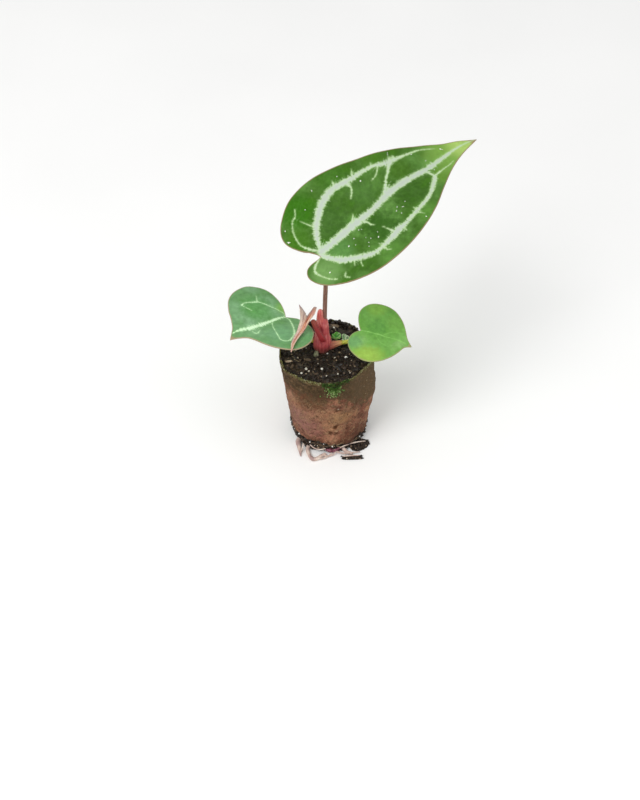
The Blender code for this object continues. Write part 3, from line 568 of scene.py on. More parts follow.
def smooth_line(points, steps=6):
    """Catmull-Rom curve through the points, with `steps` pieces between neighbours."""
    knots = np.array(points, float)
    padded = np.vstack([2 * knots[0] - knots[1], knots, 2 * knots[-1] - knots[-2]])
    line = []
    for i in range(1, len(padded) - 2):
        a, b, c, d = padded[i - 1:i + 3]
        for t in np.arange(steps) / steps:
            bend = (2 * a - 5 * b + 4 * c - d) * t * t + (3 * b - a - 3 * c + d) * t ** 3
            line.append(0.5 * (2 * b + (c - a) * t + bend))
    line.append(knots[-1])
    return np.array(line)


def evenly(line, count):
    """The line's points at `count` equal steps along its length."""
    steps = np.linalg.norm(np.diff(line[:, :3], axis=0), axis=1)
    length = np.concatenate([[0.0], np.cumsum(steps)])
    wanted = np.linspace(0.0, length[-1], count)
    return np.stack([np.interp(wanted, length, line[:, k]) for k in range(line.shape[1])], axis=1)


def stalk(name, knots, sides, steps, shape=None, wrinkles=0.03):
    """A fleshy round stalk through knots of x, y, z and radius, with rounded ends. shape(turn, t) gives
    the factor on its radius, and wrinkles the share by which its skin wanders."""
    line = evenly(smooth_line(knots), steps + 1)
    centre, radius = line[:, :3], line[:, 3]
    ahead = np.gradient(centre, axis=0)
    ahead /= np.linalg.norm(ahead, axis=1)[:, None]
    side = np.cross(ahead[0], (0.3, 1.0, 0.2))
    sides_on = []
    for direction in ahead:
        side = side - direction * (side @ direction)
        side = side / np.linalg.norm(side)
        sides_on.append(side)
    sides_on = np.array(sides_on)
    other = np.cross(ahead, sides_on)
    passed = np.concatenate([[0.0], np.cumsum(np.linalg.norm(np.diff(centre, axis=0), axis=1))])
    to_end = np.minimum(passed, passed[-1] - passed)
    radius = radius * np.sqrt(1.0 - (1.0 - np.clip(to_end / radius, 0, 1)) ** 2)

    def place(s, t):
        turn = 2 * math.pi * s
        row = np.rint(t * steps).astype(int)
        width = radius[row] * (1.0 if shape is None else shape(turn, t))
        out = sides_on[row] * np.cos(turn)[:, None] + other[row] * np.sin(turn)[:, None]
        skin = centre[row] + out * width[:, None]
        return skin + out * (width * wrinkles * roughness_at(skin, 1.6, 3))[:, None]

    return shaped_grid(name, sides, steps, place)


def from_soil(angle, height, radius, knots):
    """A root's knots, with a first one on the soil's side at an angle and a height."""
    return [(*plug_wall(height, angle, PAPER + 0.3).tolist(), radius)] + knots


root_pieces = [stalk("pale_root", from_soil(*PALE_ROOT), 24, 56),
               stalk("looped_root", from_soil(*LOOPED_ROOT), 24, 130),
               stalk("white_root", from_soil(*WHITE_ROOT), 24, 44)]
purple_strands = []
for number, strand in enumerate(PURPLE_ROOTS):
    knots = [(*plug_wall(height, angle, PAPER - 0.4 - radius).tolist(), radius)
             for angle, height, radius in strand]
    purple_strands.append(stalk(f"purple_strand_{number}", knots, 20, 60, wrinkles=0.35))


def join(pieces, name):
    """Makes one piece of several."""
    bpy.ops.object.select_all(action="DESELECT")
    for piece in pieces:
        piece.select_set(True)
    bpy.context.view_layer.objects.active = pieces[0]
    bpy.ops.object.join()
    joined = bpy.context.object
    joined.name = name
    joined.data.name = name
    return joined


def on_skin(around, length, wide, long):
    """A pattern's scale on the UV map of a stalk so many millimetres around and long, for marks of a
    width and a length in millimetres."""
    return around / wide, length / long, 1.0


purple_root = join(purple_strands, "purple_root")

# Root skin: waxy velamen over a pale core, beige where it has dried and mauve where it is young
root_skin, add = new_material("velamen_root_skin")
spot = add("TexCoord").outputs["Object"]
along = add("TexCoord").outputs["UV"]
drawn = add("Mapping", {"Vector": along, "Scale": on_skin(7.2, 14.4, 1.2, 0.3)})
rings = add("TexNoise", {"Vector": drawn, "Scale": 1.0, "Detail": 4.0})
blush = add("TexNoise", {"Vector": spot, "Scale": per_metre(4.17), "Detail": 3.0})
tone = add("ValToRGB", {0: blush}, [(0.35, "#a78b86"), (0.5, "#d0b8ab"), (0.65, "#ebdccd")])
lines = add("MapRange", {"Value": rings, "From Min": 0.3, "From Max": 0.5, "To Min": 0.35, "To Max": 0.0})
colour = add("Mix", {"Factor": lines, "A": tone, "B": "#8d7262"}, data_type="RGBA")
dents = add("Bump", {"Strength": 0.4, "Distance": 0.1 * MM, "Height": rings})
shader = add("BsdfPrincipled", {"Base Color": colour, "Roughness": 0.5, "IOR": 1.42, "Normal": dents})
add("OutputMaterial", {"Surface": shader})

# Purple root skin: the same, coloured by anthocyanin, with pale pink patches that are painted highlights
purple_skin, add = new_material("anthocyanin_root_skin")
spot = add("TexCoord").outputs["Object"]
blush = add("TexNoise", {"Vector": spot, "Scale": per_metre(2.38), "Detail": 5.0, "Roughness": 0.65})
# The palest tone is painted highlight
tone = add("ValToRGB", {0: blush},
           [(0.36, "#421b26"), (0.46, "#6c3341"), (0.54, "#915a66"), (0.64, "#dbbcc0")])
dents = add("Bump", {"Strength": 0.5, "Distance": 0.2 * MM, "Height": blush})
shader = add("BsdfPrincipled", {"Base Color": tone, "Roughness": 0.45, "IOR": 1.42, "Normal": dents})
add("OutputMaterial", {"Surface": shader})
for piece, node in zip(root_pieces, ("root_pale", "root_looped", "root_white")):
    piece.data.materials.append(root_skin)
    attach(piece, "root")
    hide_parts(node)
thread_pieces = [stalk(f"root_thread_{number}", knots, 8, 40, wrinkles=0.1)
                 for number, knots in enumerate(ROOT_THREADS)]
root_threads = join(thread_pieces, "root_threads")
root_threads.data.materials.append(root_skin)
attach(root_threads, "root")
purple_root.data.materials.append(purple_skin)
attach(purple_root, "root")
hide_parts("root_purple")


# Soil crust
# Two scraps of caked soil with root threads through them, one wedged against the plug's foot and a thin
# strip in front of it.
CRUST_ANGLES = (-57.0, -46.0, -35.0)
CRUST_OUTLINE = [(16.6, -9.6), (17.8, -11.4), (16.2, -14.0), (13.4, -15.8), (10.6, -15.8)]
STRIP_OUTLINE = [(5.4, -19.5), (8.4, -19.2), (11.8, -19.5), (14.6, -18.9), (14.4, -20.6), (10.0, -21.1),
                 (6.0, -20.9)]
CRUST_THICKNESS = 1.8
STRIP_THICKNESS = 1.1
UNDERSIDE = 0.3                # share of a scrap's skin that is its flat underside


def scrap(name, outline, thickness):
    """A caked scrap: flat below, rounded off at its edge, rough on top."""
    edge = evenly(np.pad(smooth_line(outline + [outline[0]], 8), ((0, 0), (0, 1))), 97)[:, :2]
    middle = edge[:-1].mean(axis=0)

    def place(s, t):
        row = np.rint(s * 96).astype(int) % 96
        under = t < UNDERSIDE
        share = np.where(under, t / UNDERSIDE, np.sqrt(np.clip((1.0 - t) / (1.0 - UNDERSIDE), 0, 1)))
        ragged = 1.0 + 0.14 * roughness_at(np.column_stack([edge[row], 0 * t]), 1.6, 3, 3.0)
        flat = middle + (edge[row] - middle) * (share * ragged)[:, None]
        lift = np.where(under, 0.0, 1.0 - share ** 5)
        level = thickness * lift * 0.92
        bumps = roughness_at(np.column_stack([flat, level]), 1.1, 4) * 0.6 * thickness * lift
        return np.column_stack([flat, np.maximum(level + bumps, 0.0)])

    return shaped_grid(name, 96, 40, place)


crust_edge = [tuple(plug_wall(0.9, angle, PAPER - 0.05)[:2]) for angle in CRUST_ANGLES]
crust_outline = crust_edge + CRUST_OUTLINE
caked_crust = scrap("caked_crust", crust_outline, CRUST_THICKNESS)
caked_strip = scrap("caked_strip", STRIP_OUTLINE, STRIP_THICKNESS)
litter = []
for outline, thickness, count in ((crust_outline, CRUST_THICKNESS, 190),
                                  (STRIP_OUTLINE, STRIP_THICKNESS, 130)):
    edge = np.array(smooth_line([(x, y, 0.0) for x, y in outline + [outline[0]]], 8))[:, :2]
    middle = edge[:-1].mean(axis=0)
    for _ in range(count):
        share = math.sqrt(chance.random()) * 1.06
        x, y = middle + (edge[chance.randrange(len(edge))] - middle) * share
        size = 0.14 + 0.34 * chance.random() ** 2
        level = max(size, thickness * (1.0 - share ** 5) * 0.92 + 0.1)
        litter.append((placed(x, y, level, size, 0.8), peat_tone() * chance.uniform(0.8, 1.5)))
crust_crumbs = joined_copies("crust_crumbs", lump(1, 0.45), litter)
crust_crumbs.data.materials.append(loose_grains)
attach(crust_crumbs, "root")
for piece, node in ((caked_crust, "soil_crust"), (caked_strip, "crust_strip")):
    piece.data.materials.append(wet_peat)
    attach(piece, "root")
    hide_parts(node)


# Stem base
# The short stem, wrapped in overlapping red leaf bases, stands in the soil; its foot is corky and brown. On
# it are a papery pink sheath round the tall petiole, a stub of root and the base of the right leaf's petiole.
# Knots of x, y, z and radius, from the soil upwards or from the stem outwards
STEM_RINGS = [(-3.3, 1.8, 42.6, 2.9), (-3.3, 1.7, 45.6, 3.45), (-3.3, 1.3, 48.8, 3.9),
              (-3.3, 1.4, 51.6, 3.75), (-3.3, 1.8, 54.4, 3.1), (-3.0, 1.9, 56.8, 2.7),
              (-2.9, 2.0, 60.3, 2.3), (-2.9, 2.1, 62.4, 2.0), (-2.7, 2.1, 64.0, 1.5)]
SHEATH = [(-3.3, 1.7, 57.0, 1.9), (-3.7, 1.65, 60.0, 1.8), (-3.95, 1.65, 62.7, 1.6), (-4.1, 1.6, 64.8, 1.35),
          (-4.0, 1.7, 66.8, 1.15), (-3.85, 1.8, 68.4, 0.8)]
RIGHT_SHEATH = [(-2.6, 1.4, 47.8, 1.5), (-0.8, 1.3, 48.0, 1.9), (1.0, 1.2, 48.5, 1.75),
                (2.4, 1.2, 49.0, 1.4), (4.2, 1.2, 49.6, 1.1), (5.9, 1.2, 50.1, 0.95)]
ROOT_STUB = [(-5.4, -1.4, 47.8, 0.7), (-5.7, -2.5, 47.0, 1.05), (-5.7, -3.0, 46.3, 1.15),
             (-5.7, -3.3, 45.5, 0.9)]


def leaf_bases(turn, t):
    """Folds of the wrapped leaf bases, and the step where one overlaps the next."""
    folds = 0.02 * np.cos(3 * turn + 5.0 * t) + 0.012 * np.cos(9 * turn - 3.0 * t)
    step = 0.025 * np.clip(np.sin(turn + 2.4 + 2.0 * t) * 8, -1, 1)
    return 1.0 + folds + step


def papery_fold(turn, t):
    """The folded edge of a sheath, which runs up one side of it."""
    return 1.0 + 0.04 * np.cos(2 * turn) + 0.03 * np.clip(np.sin(turn + 0.8) * 8, -1, 1) * (1 - 0.5 * t)


stem_base = stalk("stem_base", STEM_RINGS, 72, 110, leaf_bases, 0.015)
pink_sheath = stalk("pink_sheath", SHEATH, 48, 70, papery_fold, 0.015)
right_sheath = stalk("right_sheath", RIGHT_SHEATH, 48, 50, papery_fold, 0.05)
root_stub = stalk("root_stub", ROOT_STUB, 24, 30, wrinkles=0.08)

# Fresh anthurium stem, red with anthocyanin: waxy skin, streaked along its length, brown and corky below
red_stem, add = new_material("red_leaf_bases")
along = add("TexCoord").outputs["UV"]
spot = add("TexCoord").outputs["Object"]
drawn = add("Mapping", {"Vector": along, "Scale": on_skin(22.1, 22.0, 0.85, 10.0)})
streak = add("TexNoise", {"Vector": drawn, "Scale": 1.0, "Detail": 4.0, "Roughness": 0.6})
blush = add("TexNoise", {"Vector": spot, "Scale": per_metre(4.76), "Detail": 3.0})
mixed = add("Math", {0: streak, 1: blush}, operation="ADD")
tone = add("ValToRGB", {0: add("Math", {0: mixed, 1: 0.5}, operation="MULTIPLY")},
           [(0.40, "#8f2f36"), (0.47, "#ad4447"), (0.53, "#c05b5a"), (0.62, "#d48580")])
level = add("SeparateXYZ", {"Vector": spot}).outputs["Z"]
uneven = add("MapRange", {"Value": blush, "To Min": -1.5 * MM, "To Max": 1.5 * MM})
high = add("Math", {0: level, 1: uneven}, operation="ADD")
corky = add("MapRange", {"Value": high, "From Min": 46.2 * MM, "From Max": 50.5 * MM, "To Min": 1.0,
                         "To Max": 0.0})
cork = add("ValToRGB", {0: streak}, [(0.35, "#4a2822"), (0.6, "#7c4e42")])
colour = add("Mix", {"Factor": corky, "A": tone, "B": cork}, data_type="RGBA")
dents = add("Bump", {"Strength": 0.35, "Distance": 0.2 * MM, "Height": streak})
shader = add("BsdfPrincipled", {"Base Color": colour, "Roughness": 0.42, "IOR": 1.42,
                                "Subsurface Weight": 0.15, "Subsurface Scale": 1.0 * MM, "Normal": dents})
add("OutputMaterial", {"Surface": shader})

# Cataphyll: a thin pink sheath, translucent and veined lengthwise, paler towards its dry tip
pink_paper, add = new_material("pink_cataphyll")
along = add("TexCoord").outputs["UV"]
drawn = add("Mapping", {"Vector": along, "Scale": on_skin(9.9, 11.2, 0.45, 7.0)})
streak = add("TexNoise", {"Vector": drawn, "Scale": 1.0, "Detail": 4.0})
tone = add("ValToRGB", {0: streak},
           [(0.34, "#ae3f40"), (0.46, "#c85853"), (0.58, "#dc7f77"), (0.7, "#eaa396")])
up = add("SeparateXYZ", {"Vector": along}).outputs["Y"]
low = add("MapRange", {"Value": up, "From Min": 0.15, "From Max": 0.6, "To Min": 0.7, "To Max": 0.0})
colour = add("Mix", {"Factor": low, "A": tone, "B": "#a93a44"}, data_type="RGBA")
dents = add("Bump", {"Strength": 0.35, "Distance": 0.15 * MM, "Height": streak})
shader = add("BsdfPrincipled", {"Base Color": colour, "Roughness": 0.4, "IOR": 1.42, "Subsurface Weight": 0.2,
                                "Subsurface Scale": 1.0 * MM, "Normal": dents})
add("OutputMaterial", {"Surface": shader})

# Drying petiole base: brown-pink skin going yellow towards the leaf, with brown lengthwise cracks
drying_base, add = new_material("drying_petiole_base")
along = add("TexCoord").outputs["UV"]
drawn = add("Mapping", {"Vector": along, "Scale": on_skin(9.8, 9.0, 0.7, 3.75)})
streak = add("TexNoise", {"Vector": drawn, "Scale": 1.0, "Detail": 5.0, "Roughness": 0.65})
up = add("SeparateXYZ", {"Vector": along}).outputs["Y"]
fresh = add("ValToRGB", {0: up}, [(0.2, "#8f3a3c"), (0.5, "#a9604e"), (0.78, "#c48e64"), (0.95, "#b8a044")])
cracks = add("MapRange", {"Value": streak, "From Min": 0.32, "From Max": 0.5, "To Min": 0.75, "To Max": 0.0})
colour = add("Mix", {"Factor": cracks, "A": fresh, "B": "#5e2f22"}, data_type="RGBA")
dents = add("Bump", {"Strength": 0.5, "Distance": 0.2 * MM, "Height": streak})
shader = add("BsdfPrincipled", {"Base Color": colour, "Roughness": 0.55, "IOR": 1.42, "Normal": dents})
add("OutputMaterial", {"Surface": shader})

# Live root stub: green-tinged velamen, dusted with soil
green_skin, add = new_material("green_root_stub")
spot = add("TexCoord").outputs["Object"]
blotch = add("TexNoise", {"Vector": spot, "Scale": per_metre(1.43), "Detail": 4.0})
tone = add("ValToRGB", {0: blotch}, [(0.35, "#4b4434"), (0.5, "#7c7a5f"), (0.65, "#a3a285")])
dents = add("Bump", {"Strength": 0.4, "Distance": 0.1 * MM, "Height": blotch})
shader = add("BsdfPrincipled", {"Base Color": tone, "Roughness": 0.6, "IOR": 1.42, "Normal": dents})
add("OutputMaterial", {"Surface": shader})
for piece, material, node, slot in ((stem_base, red_stem, "crown", "crown_stem"),
                                    (pink_sheath, pink_paper, "cataphyll", "cataphyll"),
                                    (right_sheath, drying_base, "sheath_right", "petiole_sheath"),
                                    (root_stub, green_skin, "aerial_root", "root")):
    piece.data.materials.append(material)
    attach(piece, "root")
    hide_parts(node)


# Old stalk
# The dark red stump of a leaf that has died back, still fleshy and shrunken into grooves. The dried bract
# hangs at its top.
OLD_STALK = [(-2.5, 1.4, 49.6, 1.7), (-2.7, 0.5, 51.8, 1.7), (-3.0, -0.8, 53.8, 1.55),
             (-3.6, -2.2, 56.2, 1.3), (-4.8, -2.5, 59.4, 1.2), (-6.2, -2.6, 63.4, 1.15),
             (-7.3, -2.8, 66.6, 1.0)]


def shrunken(turn, t):
    """Grooves in the shrunken skin."""
    return 1.0 + 0.08 * np.cos(4 * turn + 1.0) + 0.04 * np.cos(9 * turn)


old_stalk = stalk("shrunken_stalk", OLD_STALK, 48, 70, shrunken, 0.04)

# Dying stalk: dark red turning brown at the top, dull, with lengthwise grooves that catch a little light
dark_stalk, add = new_material("dying_red_stalk")
along = add("TexCoord").outputs["UV"]
drawn = add("Mapping", {"Vector": along, "Scale": on_skin(8.0, 18.0, 0.5, 9.0)})
streak = add("TexNoise", {"Vector": drawn, "Scale": 1.0, "Detail": 4.0, "Roughness": 0.6})
up = add("SeparateXYZ", {"Vector": along}).outputs["Y"]
body = add("ValToRGB", {0: up}, [(0.15, "#a8373d"), (0.4, "#97292c"), (0.75, "#932b2a"), (1.0, "#a75043")])
dark = add("MapRange", {"Value": streak, "From Min": 0.35, "From Max": 0.52, "To Min": 0.5, "To Max": 0.0})
colour = add("Mix", {"Factor": dark, "A": body, "B": "#481a1a"}, data_type="RGBA")
dents = add("Bump", {"Strength": 0.5, "Distance": 0.2 * MM, "Height": streak})
shader = add("BsdfPrincipled", {"Base Color": colour, "Roughness": 0.5, "IOR": 1.42, "Normal": dents})
add("OutputMaterial", {"Surface": shader})
old_stalk.data.materials.append(dark_stalk)
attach(old_stalk, "root")
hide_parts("old_stalk")


# Leaf blades
# Three heart-shaped blades of living leaf, half a millimetre thick, each folded up a little along its
# midrib and arched down to its tip. It grows from its petiole. Places on a blade are millimetres along the
# midrib and to its left, from the petiole.
BLADE = 0.5
# A half of a blade rises by the fold and falls by the curl, and the whole bends by the arch, in radians, on
# its way to the tip. The pole is where the petiole meets it, and left and right are the outline's halves.
LARGE_LEAF = dict(length=92.0, fold=0.22, curl=0.001, arch=0.60, heading=39.0, pitch=23.5, roll=14.0,
                  pole=(-3.3, 1.2, 99.4), heart=(3.0, -3.0),
                  left=[(-1.5, -0.6), (-1.8, 0.8), (-2.4, 2.2), (-3.8, 4.4), (-6.0, 7.5), (-7.6, 13),
                        (-5.5, 18), (0, 22.2), (6.5, 25), (15, 25.8), (25, 24.4), (38, 20.5), (50, 16.6),
                        (62, 11.2), (74, 5.9), (84, 2.9), (92, 0)],
                  right=[(-1.5, 0.6), (-2.8, 0.8), (-4.6, 0.5), (-6.8, 0.3), (-9.3, 1.0), (-11.1, 3.4),
                         (-11.0, 6.6), (-9.6, 10.4), (-6.5, 14.5), (-1, 18.7), (7, 22.6), (16, 24.2),
                         (25, 24), (36, 21.9), (47, 17.8), (58, 12), (69, 6.6), (81, 2.6), (92, 0)])
LEFT_LEAF = dict(length=28.5, fold=0.15, curl=0.002, arch=0.30, heading=218.0, pitch=16.0, roll=0.0,
                 pole=(-18.9, 4.0, 61.7), heart=(3.0, 0.0),
                 left=[(-0.4, 0.1), (-2.3, 1.2), (-4.6, 3.2), (-5.5, 7.5), (-4.2, 13.4), (-0.9, 17.8),
                       (3.4, 20.9), (8.5, 22.1), (13, 21), (17, 16.6), (19.5, 11), (22, 4.3), (25.5, 1.3),
                       (28.5, 0)],
                 right=[(-0.4, -0.1), (-2.2, 3.2), (-3.8, 8), (-4.1, 12), (-3.6, 16.4), (-1.5, 20),
                        (3, 22.6), (7, 22.9), (12, 21.7), (16.3, 18.6), (19.5, 13.8), (21.6, 9), (24, 4.8),
                        (26.6, 2), (28.5, 0)])
RIGHT_LEAF = dict(
    length=22.3, fold=0.15, curl=0.002, arch=0.30, heading=-18.0, pitch=0.0, roll=8.0, pole=(13.4, 2.0, 55.8),
    heart=(3.0, 0.0),
    left=[(-0.4, 0.1), (-1.9, 2.7), (-3.3, 6.5), (-3.3, 10.2), (-1.1, 13.4), (2.5, 15), (7, 15), (11, 13.6),
          (15, 10.3), (17.6, 6.5), (19.6, 2.8), (22.3, 0)],
    right=[(-0.4, -0.1), (-2.6, 1.6), (-3.8, 4.6), (-3.4, 8.4), (-1, 12.2), (3.5, 15.1), (7.5, 15.6),
           (11.5, 13.8), (15.2, 10), (17.8, 5.7), (19.6, 1.8), (22.3, 0)])
# A vein is a line of places on the blade, each with the vein's half width there
LARGE_VEINS = [[(-1.2, 0.0, 1.0), (0.5, 0.6, 1.6), (3, 0.3, 1.7), (9, 0, 1.75), (17, -0.2, 1.8),
                (26, -0.6, 1.5), (33, 0.1, 1.4), (39, 1.0, 1.7), (47, 0.8, 1.5), (54, 0.1, 1.35),
                (60, -0.5, 1.35), (68, -0.1, 1.0), (77, 0.6, 0.65), (85, 0.8, 0.4), (91, 0.3, 0.2)],
               [(0.3, 1.0, 1.0), (2, 4.1, 1.0), (4, 7.2, 1.2), (6.6, 9.9, 1.45), (9.7, 12.2, 1.45),
                (12.7, 14.2, 1.5), (16, 15.6, 1.6), (19.6, 16.5, 1.5), (22.8, 16.6, 1.35),
                (27.8, 15.7, 1.35), (32.3, 15, 1.15), (35, 14.9, 0.95), (40.7, 14.1, 0.75),
                (43.1, 13.3, 0.75), (45.5, 12.3, 1.0), (48.5, 11.2, 1.3), (51.5, 10.8, 0.9),
                (54.5, 10.2, 0.55), (60.4, 9.1, 0.36), (64.1, 8.1, 0.28), (70, 5.3, 0.16)],
               [(-0.9, -0.6, 0.8), (0, -2.8, 1.1), (1.1, -5.1, 1.15), (2.3, -7.3, 1.35), (3.6, -9.3, 1.5),
                (6.3, -11.5, 1.4), (8.6, -13.5, 1.3), (13.3, -16.3, 1.1), (17.2, -16.8, 0.8),
                (19.3, -16.7, 1.0), (24.2, -16.3, 1.35), (27.4, -15.6, 1.65), (30.6, -15.5, 1.2),
                (33.5, -15.2, 0.9), (39.1, -14.1, 1.0), (42.9, -13.4, 1.0), (46.9, -12.5, 0.8),
                (51.2, -10.7, 0.8), (55.5, -8, 1.1), (58.5, -5.8, 0.8), (58.6, -3.7, 0.55),
                (58, -1.1, 0.6)],
               [(47.8, 10.8, 0.9), (45, 8.4, 0.55), (42.1, 6.4, 0.5), (39.9, 4.4, 0.6), (37.3, 2, 1.0)],
               [(-0.6, 2.2, 0.45), (-2.5, 5, 0.45), (-3.7, 8.1, 0.32), (-3.2, 11.4, 0.3),
                (-1.9, 14.5, 0.28), (-0.1, 16.8, 0.26), (1.5, 18, 0.3), (2.7, 18.1, 0.2), (4.9, 20.5, 0.2)],
               [(-2.0, -0.9, 0.3), (-4.9, -1.8, 0.45), (-6.1, -2.4, 0.5), (-7.5, -3.9, 0.45),
                (-7.6, -5.2, 0.4), (-7.4, -6.6, 0.34), (-6.8, -8.6, 0.3), (-5.7, -11.4, 0.24),
                (-4.1, -13.5, 0.24)],
               [(58.6, -5.4, 0.5), (62.5, -5.1, 0.4), (65.5, -4.8, 0.25), (68.1, -4.7, 0.2),
                (72, -4, 0.12)],
               [(27.8, 14.4, 0.7), (28.1, 12.6, 0.4), (26.9, 10.8, 0.34), (24.7, 9, 0.26)],
               [(43.3, 13, 0.4), (41.8, 11.5, 0.28), (39.7, 10, 0.26), (36.8, 9.4, 0.14)],
               [(3.0, 15.6, 0.1), (4.6, 11.8, 0.24), (5.4, 10, 0.5)],
               [(33.7, 18.2, 0.1), (32.6, 16.8, 0.3), (31.7, 15.9, 0.5)],
               [(24.2, 19.4, 0.16), (23.1, 17, 0.5)], [(14.2, 17.2, 0.12), (14.2, 15.2, 0.5)],
               [(41.8, 15.6, 0.12), (41, 14, 0.4)], [(20.5, 3.4, 0.14), (19.1, 2, 0.45), (17.6, 1, 0.7)],
               [(21, -1.4, 0.7), (22.2, -3.7, 0.36), (22.3, -5.3, 0.26), (23.2, -6.6, 0.2)],
               [(0.3, -14, 0.22), (-1.1, -15.3, 0.34), (-0.2, -17, 0.16)],
               [(9, -13.6, 0.4), (7.2, -15.7, 0.2), (6.6, -17.3, 0.1)],
               [(6.0, -12.5, 0.3), (4.8, -14.6, 0.12)],
               [(18.8, -17, 0.4), (18, -18.9, 0.28), (19.1, -20.3, 0.14)],
               [(18, -14.6, 0.12), (18.2, -16.6, 0.4)], [(24.7, -9.9, 0.22), (25, -10.1, 0.2)],
               [(25, -11.2, 0.2), (25.5, -12.6, 0.34), (25.8, -14.8, 0.6)],
               [(39.9, -11.7, 0.12), (39.8, -13.7, 0.4)], [(29.6, -18.4, 0.14), (30, -16, 0.5)],
               [(39.3, -15, 0.3), (40.4, -17.2, 0.1)], [(14.6, -18.6, 0.14), (14.6, -16.8, 0.4)],
               [(49.9, 13.4, 0.16), (49.4, 11.6, 0.6)], [(51.6, 12.6, 0.2), (50.4, 11.2, 0.6)]]
LEFT_VEINS = [[(-0.3, 0.1, 0.3), (1.4, -0.3, 0.55), (5, -0.2, 0.75), (9.9, 0, 0.9), (14.4, -0.2, 1.1),
               (18.4, -0.8, 1.1), (21.3, -1.8, 0.85), (23.7, -2.3, 0.45), (25.6, -2.2, 0.15)],
              [(-0.6, -1, 0.1), (-0.9, -2.7, 0.16), (0.2, -5.3, 0.18), (1.7, -7.6, 0.18), (3.2, -10, 0.2),
               (5.2, -12.3, 0.26), (8, -13.3, 0.26), (10, -14, 0.3), (11.8, -14.2, 0.26),
               (12.9, -13.6, 0.3)],
              [(5.4, -13, 0.2), (3.7, -15.9, 0.1)],
              [(12.7, -13.1, 0.14), (11, -9, 0.08)],
              [(0.2, 0.2, 0.18), (-0.5, 2.2, 0.24), (0.9, 5.9, 0.3), (3, 9.8, 0.36), (4.9, 12.5, 0.36),
               (7.7, 14.5, 0.3), (9.5, 15.6, 0.36)],
              [(7, 0.2, 0.16), (8.8, 2.7, 0.12), (10.2, 6.1, 0.12), (11.4, 9.7, 0.2), (12.4, 12.7, 0.26),
               (12, 14.5, 0.2), (10.8, 15.4, 0.16)],
              [(18.4, 1.6, 0.1), (17.8, 4, 0.2), (15.2, 2.7, 0.08)]]
RIGHT_VEINS = [[(-0.2, 0.1, 0.2), (3.1, 0.3, 0.26), (5.1, 0.2, 0.16), (8.2, 0.4, 0.32), (10.3, 0.2, 0.16),
                (12.7, 0.4, 0.14), (15.2, 0.6, 0.12), (17.5, 0.5, 0.16), (19.8, 0.3, 0.1)],
               [(9, 0.4, 0.06), (12.5, 3.4, 0.07), (16, 4.2, 0.02)],
               [(6, 0.2, 0.05), (9.4, -3.6, 0.05), (13, -4.6, 0.02)]]


def leaf_axes(leaf):
    """World directions of the blade's length, its left side and its upper face."""
    heading, pitch, roll = (math.radians(leaf[key]) for key in ("heading", "pitch", "roll"))
    turn = Matrix.Rotation(heading, 3, "Z") @ Matrix.Rotation(-pitch, 3, "Y") @ Matrix.Rotation(roll, 3, "X")
    return np.array(turn).T


def blade_point(leaf, u, v):
    """Points of the blade's middle surface, u along the midrib and v to its left."""
    along, left, up = leaf_axes(leaf)
    u, v = np.atleast_1d(u).astype(float), np.atleast_1d(v).astype(float)
    trough = leaf["fold"] * (np.sqrt(v * v + 9.0) - 3.0) - leaf["curl"] * v * v
    bend = leaf["arch"] * u / leaf["length"]
    reach = leaf["length"] * np.sin(bend) / leaf["arch"] + trough * np.sin(bend)
    rise = -leaf["length"] * (1.0 - np.cos(bend)) / leaf["arch"] + trough * np.cos(bend)
    return np.array(leaf["pole"]) + np.outer(reach, along) + np.outer(v, left) + np.outer(rise, up)


def nearest(places, lines):
    """For each place on a blade, how far it lies outside the nearest of lines that have a half width (less
    than 0 inside one), the way there from its middle, and its half width."""
    best = np.full(len(places), 1e6)
    way = np.zeros((len(places), 3))
    for line in lines:
        fine = smooth_line(line, 5)
        for a, b in zip(fine[:-1], fine[1:]):
            step = b - a
            share = np.clip((places - a[:2]) @ step[:2] / (step[:2] @ step[:2]), 0, 1)
            near = a + share[:, None] * step
            off = places - near[:, :2]
            gap = np.hypot(off[:, 0], off[:, 1]) - near[:, 2]
            closer = gap < best
            best[closer] = gap[closer]
            way[closer] = np.column_stack([off, near[:, 2]])[closer]
    return best, way


def blade(name, leaf, veins, rays, rings, puff, ripple):
    """A blade as a fan of rays from a place near the petiole, the heart, to the margin. It is sunk along its
    veins and puffed up between them."""
    up = leaf_axes(leaf)[2]
    left = evenly(smooth_line(leaf["left"], 10), rays // 2 + 1)
    right = evenly(smooth_line(leaf["right"], 10), rays // 2 + 1) * (1.0, -1.0)
    margin = np.vstack([left, right[-2::-1]])
    border = np.column_stack([margin, np.zeros(len(margin))])

    def place(s, t):
        ray = np.rint(s * rays).astype(int)
        flat = leaf["heart"] + (margin[ray] - leaf["heart"]) * t[:, None]
        gap, way = nearest(flat, veins)
        to_edge, _ = nearest(flat, [border[::3]])
        quilt = puff * (1.0 - np.exp(-np.clip(gap, 0, None) / 2.0)) * np.clip(to_edge / 2.5, 0, 1)
        fine = 0.05 * roughness_at(np.column_stack([flat, flat[:, :1] * 0]), 1.2, 2)
        wave = ripple * np.sin(0.42 * (flat[:, 0] - 0.6 * flat[:, 1])) * np.exp(-to_edge / 4.0)
        lift = quilt + fine + wave
        skin = blade_point(leaf, *flat.T) + np.outer(lift, up)
        kept = {"vein": way, "vein_gap": gap, "to_edge": to_edge, "blade": np.column_stack([flat, 0 * gap])}
        return skin, kept

    made = shaped_grid(name, rays, rings, place)
    if sum(face.normal.dot(Vector(up)) for face in list(made.data.polygons)[::50]) < 0:
        made.data.flip_normals()
    return made


large_blade = blade("large_blade", LARGE_LEAF, LARGE_VEINS, 300, 78, 0.45, 0.12)
left_blade = blade("left_blade", LEFT_LEAF, LEFT_VEINS, 180, 44, 0.14, 0.08)
right_blade = blade("right_blade", RIGHT_LEAF, RIGHT_VEINS, 170, 40, 0.12, 0.08)


